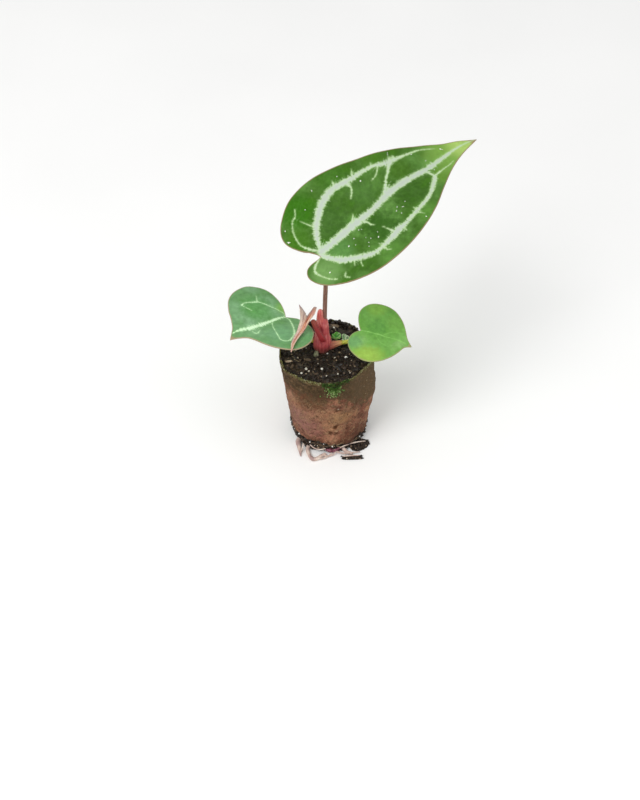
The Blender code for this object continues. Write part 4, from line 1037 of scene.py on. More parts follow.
def blade_material(name, greens, patches, silver, margin, ragged, sheen):
    """The upper face of a blade: greens in soft patches, silver veins with ragged edges, a thin margin. A
    patch has its place on the blade, its reach in millimetres, its colour and its strength. Patterns lie
    on the blade's own coordinates in millimetres, so a scale of 1 / 2.0 gives marks 2 mm wide."""
    made, add = new_material(name)
    flat = add("Attribute", attribute_name="blade").outputs["Vector"]
    vein = add("SeparateXYZ", {"Vector": add("Attribute", attribute_name="vein").outputs["Vector"]})
    across = add("CombineXYZ", {"X": vein.outputs["X"], "Y": vein.outputs["Y"]})
    from_middle = add("VectorMath", {0: across}, operation="LENGTH").outputs["Value"]
    outside = add("Math", {0: from_middle, 1: vein.outputs["Z"]}, operation="SUBTRACT")
    gap = add("Attribute", attribute_name="vein_gap").outputs["Fac"]
    cell = add("Math", {0: gap, 1: 0.8}, operation="SUBTRACT")
    clear = add("Math", {0: outside, 1: cell}, operation="MAXIMUM")
    middle = add("VectorMath", {0: flat, 1: across}, operation="SUBTRACT")
    teeth = add("TexNoise", {"Vector": middle, "Scale": 1 / 0.667, "Detail": 4.0, "Roughness": 0.8})
    frayed = add("TexNoise", {"Vector": flat, "Scale": 1 / 0.625, "Detail": 4.0, "Roughness": 0.8,
                              "Distortion": 0.8})
    bite = add("MapRange", {"Value": vein.outputs["Z"], "From Max": 1.2, "To Min": 0.5 * ragged,
                            "To Max": 4.2 * ragged})
    both = add("Math", {0: teeth, 1: frayed}, operation="ADD")
    centred = add("Math", {0: both, 1: 1.0}, operation="SUBTRACT")
    ragged_by = add("Math", {0: centred, 1: bite}, operation="MULTIPLY")
    depth = add("Math", {0: clear, 1: ragged_by}, operation="ADD")
    patch = add("TexNoise", {"Vector": flat, "Scale": 1 / 11.1, "Detail": 3.0, "Distortion": 0.4})
    cloud = add("TexNoise", {"Vector": flat, "Scale": 1 / 2.0, "Detail": 5.0, "Roughness": 0.6})
    ground = add("ValToRGB", {0: patch}, greens)
    tissue = soft_patches(add, ground, flat, cloud, [((u, v, 0.0), *rest) for u, v, *rest in patches])
    shade = add("MapRange",
                {"Value": cloud, "From Min": 0.3, "From Max": 0.7, "To Min": 0.88, "To Max": 1.24})
    green = add("Mix", {"Factor": 1.0, "A": tissue, "B": shade}, data_type="RGBA", blend_type="MULTIPLY")
    cells = add("TexVoronoi", {"Vector": flat, "Scale": 1 / 2.38}, feature="DISTANCE_TO_EDGE")
    netted = add("MapRange",
                 {"Value": cells, "From Min": 0.01, "From Max": 0.10, "To Min": 0.02, "To Max": 0.0})
    nerved = add("Mix", {"Factor": netted, "A": green, "B": silver[0]}, data_type="RGBA")
    halo = add("MapRange", {"Value": depth, "From Min": 0.0, "From Max": 0.6, "To Min": 0.22, "To Max": 0.0})
    glow = add("Mix", {"Factor": halo, "A": nerved, "B": silver[0]}, data_type="RGBA")
    scaled = add("MapRange", {"Value": depth, "From Min": -1.0, "From Max": 0.0})
    silvery = add("ValToRGB", {0: scaled}, [(0.0, silver[2]), (0.45, silver[1]), (1.0, silver[0])])
    thick = add("MapRange", {"Value": vein.outputs["Z"], "From Min": 0.1, "From Max": 0.5, "To Min": 0.3})
    broken = add("MapRange", {"Value": cloud, "From Min": 0.40, "From Max": 0.56, "To Min": 0.4})
    strength = add("Math", {0: thick, 1: broken}, operation="MAXIMUM")
    inside = add("MapRange",
                 {"Value": depth, "From Min": -0.06, "From Max": 0.03, "To Min": strength, "To Max": 0.0})
    veined = add("Mix", {"Factor": inside, "A": glow, "B": silvery}, data_type="RGBA")
    to_edge = add("Attribute", attribute_name="to_edge").outputs["Fac"]
    wander = add("Math", {0: to_edge, 1: add("MapRange", {"Value": cloud, "To Min": -0.25, "To Max": 0.25})},
                 operation="ADD")
    rim = add("MapRange", {"Value": wander, "From Min": 0.18, "From Max": 0.42, "To Min": 0.8, "To Max": 0.0})
    colour = add("Mix", {"Factor": rim, "A": veined, "B": margin}, data_type="RGBA")
    # The real papillae are about 0.03 mm wide. They are drawn 0.22 mm wide, as coarse as they need to show.
    papillae = add("TexVoronoi", {"Vector": flat, "Scale": 1 / 0.222})
    soft = add("Math", {0: papillae, 1: cloud}, operation="ADD")
    relief = add("Bump", {"Strength": 0.25, "Distance": 0.1 * MM, "Height": soft})
    shader = add("BsdfPrincipled", {"Base Color": colour, "Roughness": 0.55, "IOR": 1.42,
                                    "Specular IOR Level": 0.15, "Sheen Weight": sheen,
                                    "Sheen Roughness": 0.45, "Sheen Tint": "#b9d6a8", "Normal": relief})
    add("OutputMaterial", {"Surface": shader})
    return made


# Velvety upper face: cells like tiny domes give the large blade a soft green sheen and its veins a silver one
# The paler patches right of the midrib, round (6, -5), (-5, -8), (18, -21), (42, -17) and (62, -8), are
# painted velvet sheen where light falls on that half
LARGE_PATCHES = [(5, 19, 11, "#306902", 0.9), (-4, 10, 8, "#3b6d08", 0.8), (25, 21, 10, "#386814", 0.7),
                 (44, 16, 7, "#447318", 0.6), (12, 7, 10, "#385f1e", 0.7), (30, 8, 8, "#4b7434", 0.5),
                 (50, 6, 7, "#3d6612", 0.6), (6, -5, 8, "#568642", 0.7), (24, -9, 11, "#305a15", 0.85),
                 (44, -6, 11, "#335b15", 0.85), (-5, -8, 9, "#6a924f", 0.9), (18, -21, 8, "#558534", 0.7),
                 (42, -17, 8, "#548430", 0.7), (62, -8, 7, "#628b2c", 0.7), (74, 0, 17, "#7ca648", 0.75),
                 (84, 0, 13, "#a4c266", 0.9), (91, 0, 5, "#937c5a", 0.9)]
velvet_blade = blade_material(
    "velvet_green_blade",
    [(0.30, "#3c6c10"), (0.42, "#3a621a"), (0.52, "#446c26"), (0.62, "#507b33"), (0.74, "#628c44")],
    LARGE_PATCHES, ("#b3d492", "#bccdb2", "#b7c3b5"), "#a08468", 1.0, 0.04)
# The left blade is greyer and satin, with thin pale veins and a tan margin
LEFT_PATCHES = [(8, -9, 10, "#559848", 0.6), (-3, -5, 5, "#7fb354", 0.8), (9, 11, 10, "#6d9f70", 0.7),
                (21, 2, 5, "#6f9c69", 0.6), (28, 0, 2.4, "#a08a6a", 0.9), (2, 17, 5, "#5f985a", 0.6)]
satin_blade = blade_material(
    "satin_grey_green_blade", [(0.30, "#5d8e4f"), (0.45, "#689662"), (0.58, "#75a072"), (0.70, "#83ac81")],
    LEFT_PATCHES, ("#bfeab0", "#d4f3c8", "#dcf7d4"), "#b39a80", 1.0, 0.1)
# The right blade is young: thin, fresh green, with a yellow patch where it is fading
RIGHT_PATCHES = [(6.0, -14.0, 9, "#9cbc50", 0.8), (9.5, -10.5, 6, "#95b84e", 0.45),
                 (3, 13, 6, "#85b14b", 0.7), (13, 8, 6, "#70a248", 0.7), (-1, -7, 5, "#6f9f66", 0.8),
                 (6, 3, 6, "#5c9446", 0.6), (16, -5, 4, "#74a650", 0.5), (21.8, 0, 1.6, "#a39a72", 0.8)]
young_blade = blade_material(
    "young_green_blade", [(0.28, "#5f9539"), (0.45, "#699e49"), (0.58, "#72a652"), (0.70, "#82af64")],
    RIGHT_PATCHES, ("#8ac463", "#98cf74", "#a4d982"), "#a3a070", 0.5, 0.1)

# Undersides: paler and matt, with the veins standing out as light green ridges
pale_underside, add = new_material("pale_blade_underside")
flat = add("Attribute", attribute_name="blade").outputs["Vector"]
gap = add("Attribute", attribute_name="vein_gap").outputs["Fac"]
near = add("MapRange", {"Value": gap, "From Min": -0.3, "From Max": 0.5, "To Min": 0.75, "To Max": 0.0})
cloud = add("TexNoise", {"Vector": flat, "Scale": 1 / 2.86, "Detail": 5.0})
tissue = add("ValToRGB", {0: cloud}, [(0.35, "#6f9c5c"), (0.5, "#82ab6c"), (0.65, "#95b97e")])
colour = add("Mix", {"Factor": near, "A": tissue, "B": "#bcd3a2"}, data_type="RGBA")
relief = add("Bump", {"Strength": 0.2, "Distance": 0.2 * MM, "Height": cloud})
shader = add("BsdfPrincipled", {"Base Color": colour, "Roughness": 0.6, "IOR": 1.42, "Normal": relief})
add("OutputMaterial", {"Surface": shader})
for piece, material, node, slot in ((large_blade, velvet_blade, "leaf_large", "large_blade"),
                                    (left_blade, satin_blade, "leaf_left", "left_blade"),
                                    (right_blade, young_blade, "leaf_right", "right_blade")):
    piece.data.materials.append(material)
    piece.data.materials.append(pale_underside)
    thicken(piece, BLADE, 0.0, underside=1)
    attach(piece, "root")
    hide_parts(node)


# Dust on the large blade
# White specks of perlite dust, which lie loose on the upper face, and a few short scratches that show the
# pale tissue under the skin.
BLADE_SPECKS = [(7.8, 17.5), (-4, 16.7), (-6.3, 12.4), (33, 11.9), (39.7, -7.2), (19.9, -12.3),
                (17.5, -10.4), (15.6, -11.2), (17.2, -3.6), (18.1, -4.3), (9.2, -6.3), (72.6, 3.5),
                (62.2, 2.9), (39.7, -19), (51, 14.8), (20.1, -12.2), (-3.9, -9.1), (-6.6, 12.9),
                (-5.9, 12.1), (13, -5.2), (11.4, -8), (16.4, -8.6), (14.4, -12.6), (21.4, -10.2),
                (72.1, 3.9), (72.9, 3.1), (50.4, 14.2), (27, 19.4), (59, 8.6)]
SCRATCHES = [(33.7, -8.3, 1.3, 20.0), (37, -8.5, 1.5, -25.0), (35.4, -7.0, 1.0, 30.0),
             (34.4, -10.6, 0.8, 60.0), (15.2, 21.6, 1.2, 70.0), (61.5, -2.8, 0.9, 40.0)]


def on_blade(piece, leaf, u, v):
    """The place on a finished blade's upper face above a place on its middle surface."""
    up = Vector(leaf_axes(leaf)[2])
    start = Vector(blade_point(leaf, u, v)[0]) * MM + up * 0.01
    _, place, _, _ = piece.ray_cast(start, -up)
    return place / MM


dust = []
tilted = Matrix(leaf_axes(LARGE_LEAF).T.tolist()).to_4x4()
for u, v in BLADE_SPECKS:
    size = chance.choice((0.2, 0.24, 0.28, 0.42))
    grain = Matrix.Translation(on_blade(large_blade, LARGE_LEAF, u, v)) @ tilted
    dust.append((grain @ Matrix.Diagonal((size, size * chance.uniform(0.6, 1.0), 0.14, 1.0)), 1.1))
for u, v, length, slope in SCRATCHES:
    scratch = Matrix.Translation(on_blade(large_blade, LARGE_LEAF, u, v)) @ tilted
    scratch = scratch @ Matrix.Rotation(math.radians(slope), 4, "Z")
    dust.append((scratch @ Matrix.Diagonal((length / 2, 0.14, 0.08, 1.0)), 1.1))
blade_dust = joined_copies("perlite_dust", lump(1, 0.4), dust)
blade_dust.data.materials.append(loose_grains)
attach(blade_dust, "root")


# Petioles
# The leaf stalks, round and solid. The tall one is brown-mauve and swells a little at the joint under its
# blade; the two short ones are yellow-green.
# Knots of x, y and z, from the stem to below the blade
TALL_PETIOLE = [(-2.4, 2.3, 58.0), (-2.2, 2.2, 62.7), (-2.0, 2.0, 74.0), (-1.8, 1.6, 84.0), (-2.3, 1.2, 93.0)]
LEFT_PETIOLE = [(-4.6, 2.0, 49.2), (-7.8, 2.3, 50.0), (-11.0, 2.9, 51.8), (-15.0, 3.5, 55.2)]
RIGHT_PETIOLE = [(4.6, 1.2, 49.7), (6.1, 1.2, 50.1), (8.2, 1.3, 50.5), (10.8, 1.5, 51.5)]


def petiole_knots(knots, leaf, radius, turned=3.2):
    """The petiole's knots up to its end, which goes square into the blade's underside. It stands square
    to the blade from this many millimetres below it."""
    up = leaf_axes(leaf)[2]
    foot = blade_point(leaf, 0.8, 0.0)[0]
    below = [(*(foot - up * (BLADE / 2 + away)), radius * wider)
             for away, wider in ((turned, 1.08), (1.0, 1.2), (-0.4, 1.15))]
    return [(*knot, radius) for knot in knots] + below


tall_petiole = stalk("tall_petiole", petiole_knots(TALL_PETIOLE, LARGE_LEAF, 0.95), 28, 150)
left_petiole = stalk("left_petiole", petiole_knots(LEFT_PETIOLE, LEFT_LEAF, 0.75), 24, 70)
right_knots = petiole_knots(RIGHT_PETIOLE, RIGHT_LEAF, 0.85, 2.2)
right_petiole = stalk("right_petiole", right_knots, 24, 50, wrinkles=0.04)


def petiole_material(name, tones, flecks):
    """Smooth waxy skin with fine lengthwise streaks and short darker flecks, sized for the tall petiole."""
    made, add = new_material(name)
    along = add("TexCoord").outputs["UV"]
    drawn = add("Mapping", {"Vector": along, "Scale": on_skin(6.3, 42.0, 0.7, 7.0)})
    streak = add("TexNoise", {"Vector": drawn, "Scale": 1.0, "Detail": 4.0})
    spot = add("TexCoord").outputs["Object"]
    fine = add("TexNoise", {"Vector": spot, "Scale": per_metre(1.11), "Detail": 2.0})
    tone = add("ValToRGB", {0: streak}, tones)
    spots = add("MapRange", {"Value": fine, "From Min": 0.32, "From Max": 0.42, "To Min": 0.6, "To Max": 0.0})
    colour = add("Mix", {"Factor": spots, "A": tone, "B": flecks}, data_type="RGBA")
    relief = add("Bump", {"Strength": 0.25, "Distance": 0.1 * MM, "Height": streak})
    shader = add("BsdfPrincipled", {"Base Color": colour, "Roughness": 0.45, "IOR": 1.42, "Normal": relief})
    add("OutputMaterial", {"Surface": shader})
    return made


mauve_petiole = petiole_material("mauve_brown_petiole",
                                 [(0.35, "#6c483f"), (0.5, "#80594c"), (0.65, "#9b7465")], "#523630")
green_petiole = petiole_material("yellow_green_petiole",
                                 [(0.35, "#98972f"), (0.5, "#aeb038"), (0.65, "#c3bf52")], "#8f6d33")
for piece, material, node, slot in ((tall_petiole, mauve_petiole, "petiole_large", "brown_petiole"),
                                    (left_petiole, green_petiole, "petiole_left", "green_petiole"),
                                    (right_petiole, green_petiole, "petiole_right", "green_petiole")):
    piece.data.materials.append(material)
    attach(piece, "root")
    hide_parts(node)


# Ribs below the large blade
# The midrib and the two main veins are thick bundles of pale tissue. They stand out from the underside as
# tapering ridges that run out of the petiole. Each has its places on the blade and its two half widths.
RIB_PATHS = [
    ([(0.8, 0), (9, 0), (17, -0.2), (26, -0.6), (39, 1.0), (54, 0.1), (68, -0.1), (80, 0.7)], 0.85, 0.2),
    ([(0.5, 0.6), (4, 7.2), (9.7, 12.2), (16, 15.6), (22.8, 16.6), (32.3, 15), (43.1, 13.3), (54.5, 10.2)],
     0.5, 0.15),
    ([(0.5, -0.6), (2.3, -7.3), (8.6, -13.5), (17.2, -16.8), (27.4, -15.6), (39.1, -14.1), (51.2, -10.7),
      (58, -4)],
     0.5, 0.15)]
ribs = []
for number, (path, thick, thin) in enumerate(RIB_PATHS):
    up = leaf_axes(LARGE_LEAF)[2]
    radii = np.linspace(thick, thin, len(path))
    knots = [(*(blade_point(LARGE_LEAF, u, v)[0] - up * radius), radius)
             for (u, v), radius in zip(path, radii)]
    ribs.append(stalk(f"rib_{number}", knots, 14, 90, wrinkles=0.02))
blade_ribs = join(ribs, "large_blade_ribs")
pale_ribs = petiole_material("pale_green_ribs",
                             [(0.35, "#a9bd83"), (0.5, "#bccb97"), (0.65, "#cfd8ad")], "#a08a6c")
blade_ribs.data.materials.append(pale_ribs)
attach(blade_ribs, "root")


# Dried bract
# A thin, crinkled bract that has dried on the old stalk. It forks into two horns at the top; below, it
# narrows to a twisted rib and a tail, which lies over the left leaf and past its edge.
BRACT_SPINE = [(-15.8, -22.9, 67.7), (-15.1, -17.3, 67.0), (-13.7, -12.0, 65.9), (-12.1, -8.0, 65.4),
               (-10.8, -5.6, 67.2), (-9.9, -5.0, 69.6), (-9.2, -4.8, 72.4), (-9.0, -4.6, 77.0)]
BRACT_ACROSS = (0.98, -0.12, 0.15)
BRACT_FACING = (0.05, -0.72, 0.69)
# The way along the spine, and the sheet's two edges there
BRACT_EDGES = [(0, -0.15, 0.15), (3, -0.5, 0.5), (6, -0.85, 0.8), (11, -1.1, 1.1), (15, -1.5, 1.4),
               (18.5, -1.9, 1.7), (21, -2.2, 2.0), (23.5, -3.0, 2.9), (25.5, -3.4, 3.3), (27.5, -3.6, 3.6),
               (29.3, -3.8, 3.5)]
# From edge to edge, and how far along the spine the sheet ends there: two horns with a notch between
BRACT_TOP = [(0.0, 29.3), (0.5, 22.8), (0.84, 27.8), (1.0, 27.4)]
BRACT_WALL = 0.3

spine = smooth_line(BRACT_SPINE, 12)
spine_run = np.concatenate([[0.0], np.cumsum(np.linalg.norm(np.diff(spine, axis=0), axis=1))])
bract_across = np.array(Vector(BRACT_ACROSS).normalized())
bract_facing = np.array(Vector(BRACT_FACING).normalized())


def bract_sheet(s, t):
    """The bract laid along its spine, with a ridge along its rib, a shallow cup and crinkles."""
    edges = np.array(BRACT_EDGES)
    top = np.interp(s, *np.array(BRACT_TOP).T)
    run = t * top
    low, high = np.interp(run, edges[:, 0], edges[:, 1]), np.interp(run, edges[:, 0], edges[:, 2])
    off = low + (high - low) * s
    middle = np.stack([np.interp(run, spine_run, spine[:, k]) for k in range(3)], axis=-1)
    past = np.clip(run - spine_run[-1], 0, None)[:, None]
    middle = middle + past * (spine[-1] - spine[-4]) / np.linalg.norm(spine[-1] - spine[-4])
    rib = 0.15 + 0.09 * run
    ridge = 0.45 * np.exp(-((off - rib) / 0.45) ** 2)
    cup = 0.16 * (off - 0.2) ** 2 * np.clip(run / 16, 0, 1)
    crinkle = 0.28 * roughness_at(np.column_stack([off * 1.6, run * 0.5, run * 0]), 1.0, 3)
    lift = ridge + cup * 0.6 + crinkle - 0.25
    return middle + np.outer(off, bract_across) + np.outer(lift, bract_facing)


dry_bract = shaped_grid("crinkled_bract", 48, 150, bract_sheet)
thicken(dry_bract, BRACT_WALL, 0.0)

# Dried bract tissue: papery, cream and tan with mauve shading, orange-brown along its twisted rib
dried_paper, add = new_material("dried_bract_tissue")
along = add("TexCoord").outputs["UV"]
parts = add("SeparateXYZ", {"Vector": along})
spot = add("TexCoord").outputs["Object"]
drawn = add("Mapping", {"Vector": along, "Scale": on_skin(6.86, 29.4, 0.7, 7.0)})
fibre = add("TexNoise", {"Vector": drawn, "Scale": 1.0, "Detail": 5.0, "Roughness": 0.65, "Distortion": 0.5})
blush = add("TexNoise", {"Vector": spot, "Scale": per_metre(3.33), "Detail": 3.0})
pale = add("ValToRGB", {0: fibre},
           [(0.36, "#8a564c"), (0.44, "#c29582"), (0.53, "#dcb9a2"), (0.64, "#efd8c2")])
uneven = add("MapRange", {"Value": fibre, "To Min": -0.14, "To Max": 0.14})
wander = add("Math", {0: parts.outputs["X"], 1: uneven}, operation="ADD")
rib_at = add("MapRange", {"Value": parts.outputs["Y"], "From Min": 0.2, "From Max": 1.0, "To Min": 0.5,
                          "To Max": 0.82})
creamy = add("MapRange", {"Value": wander, "From Min": 0.25, "From Max": 0.5, "To Min": 0.65, "To Max": 0.0})
cream = add("ValToRGB", {0: fibre}, [(0.36, "#a58c8c"), (0.46, "#cdb9ae"), (0.6, "#ece0d2")])
halves = add("Mix", {"Factor": creamy, "A": pale, "B": cream}, data_type="RGBA")
off = add("Math", {0: add("Math", {0: wander, 1: rib_at}, operation="SUBTRACT")}, operation="ABSOLUTE")
ribbed = add("MapRange", {"Value": off, "From Min": 0.08, "From Max": 0.24, "To Min": 0.85, "To Max": 0.0})
ribbed_tone = add("ValToRGB", {0: fibre}, [(0.36, "#8a4028"), (0.48, "#b9664a"), (0.62, "#dc9a76")])
colour = add("Mix", {"Factor": ribbed, "A": halves, "B": ribbed_tone}, data_type="RGBA")
mauve = add("MapRange", {"Value": blush, "From Min": 0.5, "From Max": 0.65, "To Min": 0.0, "To Max": 0.45})
shaded = add("Mix", {"Factor": mauve, "A": colour, "B": "#b4757c"}, data_type="RGBA")
tip = add("MapRange", {"Value": parts.outputs["Y"], "From Min": 0.90, "From Max": 1.0, "To Min": 0.0,
                       "To Max": 0.7})
greyed = add("Mix", {"Factor": tip, "A": shaded, "B": "#8d8280"}, data_type="RGBA")
dents = add("Bump", {"Strength": 0.6, "Distance": 0.2 * MM, "Height": fibre})
shader = add("BsdfPrincipled", {"Base Color": greyed, "Roughness": 0.7, "IOR": 1.45, "Normal": dents})
add("OutputMaterial", {"Surface": shader})
dry_bract.data.materials.append(dried_paper)
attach(dry_bract, "root")
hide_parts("dry_bract")


# Seedling
# A tiny plant behind the stem, rooted in the soil: a tuft of cupped leaflets, bright green with pale edges,
# and paler, grey-green ones on a stalk of their own to the right.
TUFT_PLACE = (3.0, 6.9, 46.6)
CUP_PLACE = (5.6, 5.9, 46.4)
LEAFLETS = [(TUFT_PLACE, 200.0, 2.3, 1.2, 0.0), (TUFT_PLACE, 250.0, 2.0, 1.1, 0.1),
            (TUFT_PLACE, 310.0, 2.1, 1.1, 0.0), (TUFT_PLACE, 140.0, 2.2, 1.2, 0.0),
            (TUFT_PLACE, 75.0, 2.3, 1.2, 0.0), (TUFT_PLACE, 15.0, 2.0, 1.0, 0.3),
            (CUP_PLACE, 5.0, 3.2, 1.5, 1.0), (CUP_PLACE, 55.0, 2.4, 1.1, 0.9),
            (CUP_PLACE, 300.0, 2.0, 1.0, 0.8)]
TUFT_STALK = [(3.0, 6.9, 44.8, 0.6), (3.0, 6.9, 46.4, 0.6), (3.0, 6.9, 47.7, 0.5)]
CUP_STALK = [(5.4, 6.0, 44.8, 0.4), (5.5, 5.9, 46.2, 0.4), (5.7, 5.9, 47.5, 0.35)]
LEAFLET_WALL = 0.35


def seedling_leaf(number, root, heading, length, half, pale):
    """A cupped leaflet with its root, heading, length, half width, and share of the paler green."""
    turn = math.radians(heading)

    def place(s, t):
        off = (2 * s - 1) * half * np.sin(np.pi * np.clip(t, 0.02, 0.98)) ** 0.6
        run = length * t
        rise = (0.5 + 0.25 * (number % 3)) * np.sin((1.4 + 0.4 * (number % 2)) * t)
        level = root[2] + 0.9 + rise + 0.55 * (off / half) ** 2 + 0.15 * np.sin(4 * off + 3 * run)
        x = root[0] + run * math.cos(turn) - off * math.sin(turn)
        y = root[1] + run * math.sin(turn) + off * math.cos(turn)
        edge = 1.0 - np.abs(2 * s - 1)
        kept = {"to_edge": np.minimum(edge, 2.5 * (1 - t)), "pale": 0 * s + pale}
        return np.column_stack([x, y, level]), kept

    made = shaped_grid(f"leaflet_{number}", 18, 22, place)
    thicken(made, LEAFLET_WALL, 0.0)
    return made


leaflet_pieces = [stalk("tuft_stalk", TUFT_STALK, 16, 16), stalk("cup_stalk", CUP_STALK, 16, 16)]
leaflet_pieces += [seedling_leaf(number, *leaf) for number, leaf in enumerate(LEAFLETS)]
seedling = join(leaflet_pieces, "tiny_seedling")

# Tender seedling leaf: thin, waxy and bright green, its cells pale along the edge
tender_leaf, add = new_material("tender_seedling_leaf")
edge = add("Attribute", attribute_name="to_edge").outputs["Fac"]
spot = add("TexCoord").outputs["Object"]
cells = add("TexNoise", {"Vector": spot, "Scale": per_metre(1.43), "Detail": 3.0})
uneven = add("MapRange", {"Value": cells, "To Min": -0.25, "To Max": 0.25})
wander = add("Math", {0: edge, 1: uneven}, operation="ADD")
bright = add("ValToRGB", {0: wander},
             [(0.0, "#a4cf7c"), (0.14, "#6fb04a"), (0.4, "#48a028"), (0.8, "#389020")])
washed = add("ValToRGB", {0: wander},
             [(0.0, "#dfe6cf"), (0.2, "#aebf9c"), (0.5, "#7f9a74"), (0.9, "#6c8a66")])
pale = add("Attribute", attribute_name="pale").outputs["Fac"]
tone = add("Mix", {"Factor": pale, "A": bright, "B": washed}, data_type="RGBA")
dents = add("Bump", {"Strength": 0.3, "Distance": 0.1 * MM, "Height": cells})
shader = add("BsdfPrincipled", {"Base Color": tone, "Roughness": 0.45, "IOR": 1.42, "Normal": dents})
add("OutputMaterial", {"Surface": shader})
seedling.data.materials.append(tender_leaf)
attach(seedling, "root")
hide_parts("seedling")


# Moss and algae
# A tuft of moss that has grown on the damp paper at the front of the rim and hangs up to 8 mm down it, and
# a broken line of pale algae granules along the rim's edge.
MOSS_SHOOTS = 430
MOSS_BLADES = 8
MOSS_TOP = 46.2
MOSS_DROP = 8.0
ALGAE_GRAINS = 420


def moss_shoot():
    """One shoot about 1 mm long, to be copied: pointed leaves in a spiral round a short stalk."""
    points, faces = [], []
    for k in range(MOSS_BLADES):
        turn = 2.4 * k
        level = 0.1 * k
        reach = 0.55 - 0.03 * k
        out = Vector((math.cos(turn), math.sin(turn), 0.0))
        side = Vector((-math.sin(turn), math.cos(turn), 0.0))
        base = Vector((0.0, 0.0, level))
        first = len(points)
        points += [base, base + out * reach * 0.5 + side * 0.13 + Vector((0, 0, 0.16)),
                   base + out * reach * 0.5 - side * 0.13 + Vector((0, 0, 0.16)),
                   base + out * reach + Vector((0, 0, 0.5)), base + out * reach * 0.5 + Vector((0, 0, 0.02))]
        faces += [(first, first + 1, first + 3), (first, first + 3, first + 2),
                  (first, first + 4, first + 1), (first, first + 2, first + 4),
                  (first + 4, first + 3, first + 1), (first + 4, first + 2, first + 3)]
    mesh = bpy.data.meshes.new("moss_shoot")
    mesh.from_pydata(points, [], faces)
    shoot = bpy.data.objects.new("moss_shoot", mesh)
    bpy.context.scene.collection.objects.link(shoot)
    return shoot


shoots = []
for _ in range(MOSS_SHOOTS):
    hanging = chance.random() < 0.6
    angle = chance.gauss(-79.0, 4.6) if hanging else chance.uniform(-94.0, -60.0)
    drop = min(MOSS_DROP, abs(chance.gauss(4.0, 1.8))) if hanging else abs(chance.gauss(0.0, 0.8))
    height = MOSS_TOP - drop
    x, y, z = plug_wall(height, angle, -0.15)
    lean = chance.uniform(15.0, 85.0) if drop > 0.5 else chance.uniform(-30.0, 50.0)
    leaning = Matrix.Rotation(math.radians(angle + 90.0), 4, "Z")
    leaning = leaning @ Matrix.Rotation(math.radians(lean), 4, "X")
    spin = Matrix.Rotation(chance.uniform(0.0, 6.28), 4, "Z")
    size = chance.uniform(0.45, 0.95)
    own = chance.uniform(0.3, 1.0) if hanging else chance.uniform(0.0, 0.45)
    own *= 1.0 - 0.9 * math.exp(-((angle + 78.0) / 4.0) ** 2 - ((drop - 1.8) / 2.0) ** 2)
    own += 0.35 * math.exp(-((angle + 84.0) / 5.0) ** 2 - ((drop - 6.5) / 2.2) ** 2)
    shoots.append((Matrix.Translation((x, y, z)) @ leaning @ spin @ Matrix.Scale(size, 4), own))
moss_tuft = joined_copies("moss_tuft", moss_shoot(), shoots)

granules = []
for _ in range(ALGAE_GRAINS):
    angle = chance.uniform(-168.0, -14.0)
    size = chance.uniform(0.07, 0.2)
    x, y, _ = plug_wall(PLUG_HEIGHT, angle, chance.uniform(-0.15, 0.6))
    level = float(rim_height(angle)) - abs(chance.gauss(0.0, 0.5)) * (1 if chance.random() < 0.5 else 0)
    granules.append((placed(x, y, level, size, 0.8), chance.random()))
algae_line = joined_copies("algae_line", lump(1, 0.4), granules)

# Moss leaf: damp, with a soft shine, from dark to pale green shoot by shoot
moss_leaf, add = new_material("wet_moss_leaf")
own = add("Attribute", attribute_name="tone").outputs["Fac"]
spot = add("TexCoord").outputs["Object"]
fine = add("TexNoise", {"Vector": spot, "Scale": per_metre(0.667)})
uneven = add("MapRange", {"Value": fine, "To Min": -0.3, "To Max": 0.3})
mixed = add("Math", {0: own, 1: uneven}, operation="ADD")
tone = add("ValToRGB", {0: mixed}, [(0.0, "#1b230b"), (0.25, "#3b561e"), (0.6, "#5f8537"), (1.0, "#a3bb7a")])
shader = add("BsdfPrincipled", {"Base Color": tone, "Roughness": 0.5, "IOR": 1.4})
add("OutputMaterial", {"Surface": shader})
# Algae: chalky grey-green to near white crumbs
algae_crust, add = new_material("pale_algae_crust")
own = add("Attribute", attribute_name="tone").outputs["Fac"]
spot = add("TexCoord").outputs["Object"]
fine = add("TexNoise", {"Vector": spot, "Scale": per_metre(0.556)})
uneven = add("MapRange", {"Value": fine, "To Min": -0.2, "To Max": 0.2})
mixed = add("Math", {0: own, 1: uneven}, operation="ADD")
tone = add("ValToRGB", {0: mixed}, [(0.0, "#55542f"), (0.45, "#7c8048"), (0.75, "#a9ab78"), (1.0, "#dcd8bb")])
shader = add("BsdfPrincipled", {"Base Color": tone, "Roughness": 0.85, "IOR": 1.4})
add("OutputMaterial", {"Surface": shader})
for piece, material in ((moss_tuft, moss_leaf), (algae_line, algae_crust)):
    piece.data.materials.append(material)
    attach(piece, "root")


# Fibres
# Loose threads of coir and paper: a few lie on the soil, and more have come out along the sleeve's torn
# lower edge.
FIBRE_RADIUS = 0.09
TOP_FIBRES = 13
FOOT_FIBRES = 34
TOP_REACH = 18.6               # threads on the soil end this far from the plug's axis


def thread(points):
    """A thin curly thread through points, as a bevelled curve made a mesh."""
    line = bpy.data.curves.new("thread", "CURVE")
    line.dimensions = "3D"
    line.bevel_depth = FIBRE_RADIUS * MM
    line.bevel_resolution = 1
    line.use_fill_caps = True
    spline = line.splines.new("POLY")
    curl = smooth_line(points, 5)
    spline.points.add(len(curl) - 1)
    for point, place in zip(spline.points, curl):
        point.co = (*(place * MM), 1.0)
    made = bpy.data.objects.new("thread", line)
    bpy.context.scene.collection.objects.link(made)
    return made


